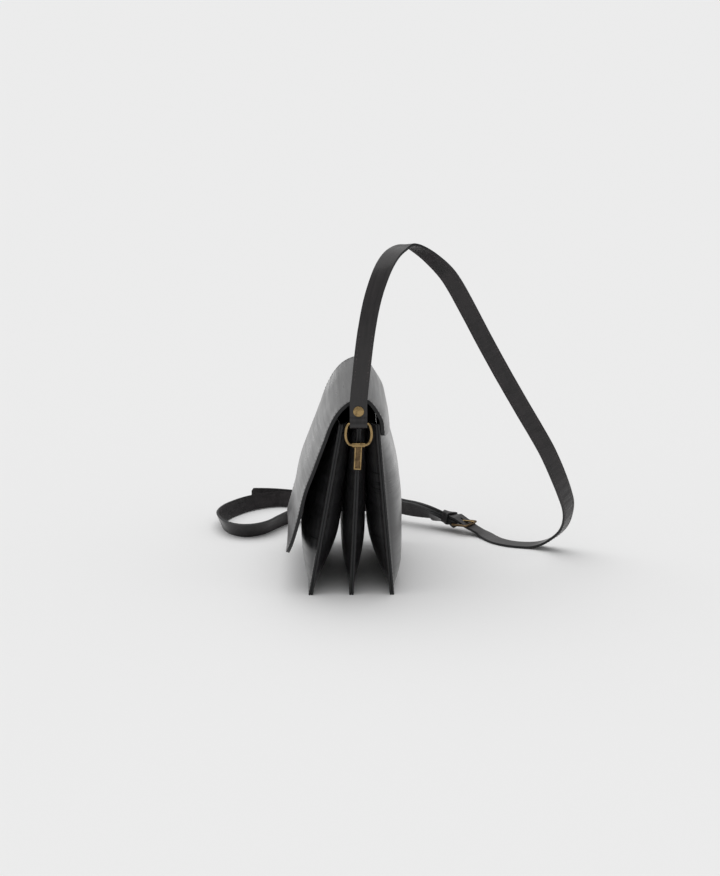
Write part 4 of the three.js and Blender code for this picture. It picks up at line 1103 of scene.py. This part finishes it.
def stitchPiece(name, places, look):
    bm = bmesh.new()
    for point, forward, out in places:
        side = forward.cross(out).normalized()
        up = side.cross(forward).normalized()
        made = bmesh.ops.create_uvsphere(bm, u_segments=6, v_segments=4, radius=0.5)["verts"]
        lengthwise = forward.normalized() * look["length"]
        turn = Matrix((side * look["thick"], up * look["thick"] * look["flatness"], lengthwise)).transposed()
        for v in made:
            v.co = toFrame(turn @ v.co + point)
    piece = finishPiece(name, bm, [waxedThread], 80)
    return piece


def spaced(points, pitch):
    # even places along a line of (point, out) pairs
    placed = []
    left = pitch / 2
    for (a, outA), (b, outB) in zip(points, points[1:]):
        length = (b - a).length
        while left <= length:
            share = left / length
            placed.append((a.lerp(b, share), (b - a).normalized(), outA.lerp(outB, share).normalized()))
            left += pitch
        left -= length
    return placed


def panelStitches(pocket, side):
    inset = stitch["inset"]
    step = stitch["step"]
    down = int((bag["pocketHeight"] - 2 * inset) / step)
    across = math.ceil((bag["length"] - 2 * inset) / step) + 1
    first = [(-halfLength + inset, bag["pocketHeight"] - inset - i * step) for i in range(down)]
    low = [(-halfLength + inset + i * step, inset) for i in range(across)]
    line = first + low + [(-x, z) for x, z in reversed(first)]
    pairs = []
    for x, z in line:
        slope = (panelMiddle(pocket, side, x, z + 1) - panelMiddle(pocket, side, x, z - 1)) / 2
        turn = (panelMiddle(pocket, side, x + 1, z) - panelMiddle(pocket, side, x - 1, z)) / 2
        out = Vector((-turn, 1, -slope)).normalized() * side
        middle = Vector((x, panelMiddle(pocket, side, x, z), z))
        pairs.append((middle + out * (bag["shownLeather"] / 2 - stitch["sink"]), out))
    return spaced(pairs, stitch["pitch"])


panels = [(pocket, side) for pocket in (-1, 0, 1) for side in (-1, 1)]
pocketStitches = [place for panel in panels for place in panelStitches(*panel)]
lapBottom = bag["pocketHeight"] - flap["lapHeight"]
pocketStitches = [p for p in pocketStitches if p[0].z < lapBottom or p[0].y < bag["rimSpacing"]]
stitchPiece("pocket_stitching", pocketStitches, stitch)


def flapStitches():
    inset = stitch["flapInset"]
    first = next(i for i, d in enumerate(flapDown) if d > inset)
    last = next(i for i, d in enumerate(flapDown) if d > flapDown[-1] - inset)
    rows = list(range(first, last + 1))

    def pair(row, x):
        row = min(max(row, 1), len(flapTable) - 2)
        down = flapAt(row + 1, x) - flapAt(row - 1, x)
        out = down.cross(flapAt(row, x + 0.5) - flapAt(row, x - 0.5)).normalized()
        u = (x / flapTable[row][1] + 1) / 2
        shown = Vector(flapSurface(min(max(u, 0), 1), row / (len(flapTable) - 1))[0])
        return shown + out * (flap["leather"] / 2 - stitch["sink"]), out

    right = [pair(row, flapTable[row][1] - inset) for row in rows]
    left = [pair(row, -flapTable[row][1] + inset) for row in reversed(rows)]
    wide = flapTable[last][1] - inset
    steps = stitch["hemSteps"]
    hem = [pair(last, wide - i * wide / steps) for i in range(1, 2 * steps)]
    return spaced(right + hem + left, stitch["pitch"])


stitchPiece("flap_stitching", flapStitches(), stitch)


# how far along a strap from its ring the stitches run
sewn = {"from": 38, "to": 87, "archShare": 0.62}


def strapStitches(stations, low, high, layer=1):
    # layer is 1 for the grain side and -1 for the lining side
    travelled = 0
    lines = {-1: [], 1: []}
    for before, station in zip(stations, stations[1:]):
        travelled += (station[0] - before[0]).length
        if low <= travelled <= high:
            point, tangent, face = station
            out = face * layer
            for side, line in lines.items():
                middle = point + tangent.cross(face) * side * (strap["width"] / 2 - stitch["strapInset"])
                line.append((middle + out * (strap["leather"] / 2 - stitch["sink"]), out))
    return [place for line in lines.values() for place in spaced(line, stitch["pitch"])]


fine = refined(holeMain, strap["finer"])
fineBuckle = refined(farMain, strap["finer"])
archLength = holeLength - strap["fold"]
strapPlaces = [place for stations in (fine, fineBuckle)
               for place in strapStitches(stations, sewn["from"], sewn["to"])]
strapPlaces += strapStitches(fine, sewn["to"] + stitch["pitch"], archLength * sewn["archShare"], -1)
stitchPiece("strap_stitching", strapPlaces, stitch)
print("stitches made")


# Stage, light and camera

stage = {"floor": (0.86, 0.86, 0.86), "radius": 16, "world": 0.52, "sun": 1.5, "sunTurn": (12, -14),
         "sunWidth": 80}


def makeStage(look):
    bm = bmesh.new()
    bmesh.ops.create_circle(bm, cap_ends=True, segments=64, radius=look["radius"])
    mesh = bpy.data.meshes.new("floor")
    bm.to_mesh(mesh)
    bm.free()
    floor = bpy.data.objects.new("floor", mesh)
    bpy.context.scene.collection.objects.link(floor)
    paper = {"Base Color": (*look["floor"], 1), "Roughness": 1.0, "Specular IOR Level": 0.0}
    mesh.materials.append(newMaterial("palePaper", **paper)[0])
    world = bpy.data.worlds.new("studio")
    bpy.context.scene.world = world
    world.use_nodes = True
    background = world.node_tree.nodes["Background"]
    background.inputs["Color"].default_value = (1, 1, 1, 1)
    background.inputs["Strength"].default_value = look["world"]


def softSun(look):
    data = bpy.data.lights.new("softSun", "SUN")
    data.energy, data.angle = look["sun"], math.radians(look["sunWidth"])
    light = bpy.data.objects.new("softSun", data)
    light.rotation_euler = [math.radians(angle) for angle in (*look["sunTurn"], 0)]
    bpy.context.scene.collection.objects.link(light)


makeStage(stage)
softSun(stage)
bpy.context.scene.view_settings.view_transform = "Standard"

view = {"place": (2.30195, -0.07739, 0.7066), "yaw": 1.1395, "pitch": 14.5, "lens": 99.99,
        "sensor": 36}


def makeCamera(look):
    yaw, pitch = math.radians(look["yaw"]), math.radians(look["pitch"])
    right = Vector((math.sin(yaw), math.cos(yaw), 0))
    forward = Vector((-math.cos(yaw) * math.cos(pitch), math.sin(yaw) * math.cos(pitch), -math.sin(pitch)))
    up = right.cross(forward)
    data = bpy.data.cameras.new("photoCamera")
    data.lens, data.sensor_width, data.sensor_fit = look["lens"], look["sensor"], "AUTO"
    camera = bpy.data.objects.new("photoCamera", data)
    turn = Matrix((right, up, -forward)).transposed().to_4x4()
    camera.matrix_world = Matrix.Translation(look["place"]) @ turn
    bpy.context.scene.collection.objects.link(camera)
    bpy.context.scene.camera = camera


makeCamera(view)
print("stage and camera made")
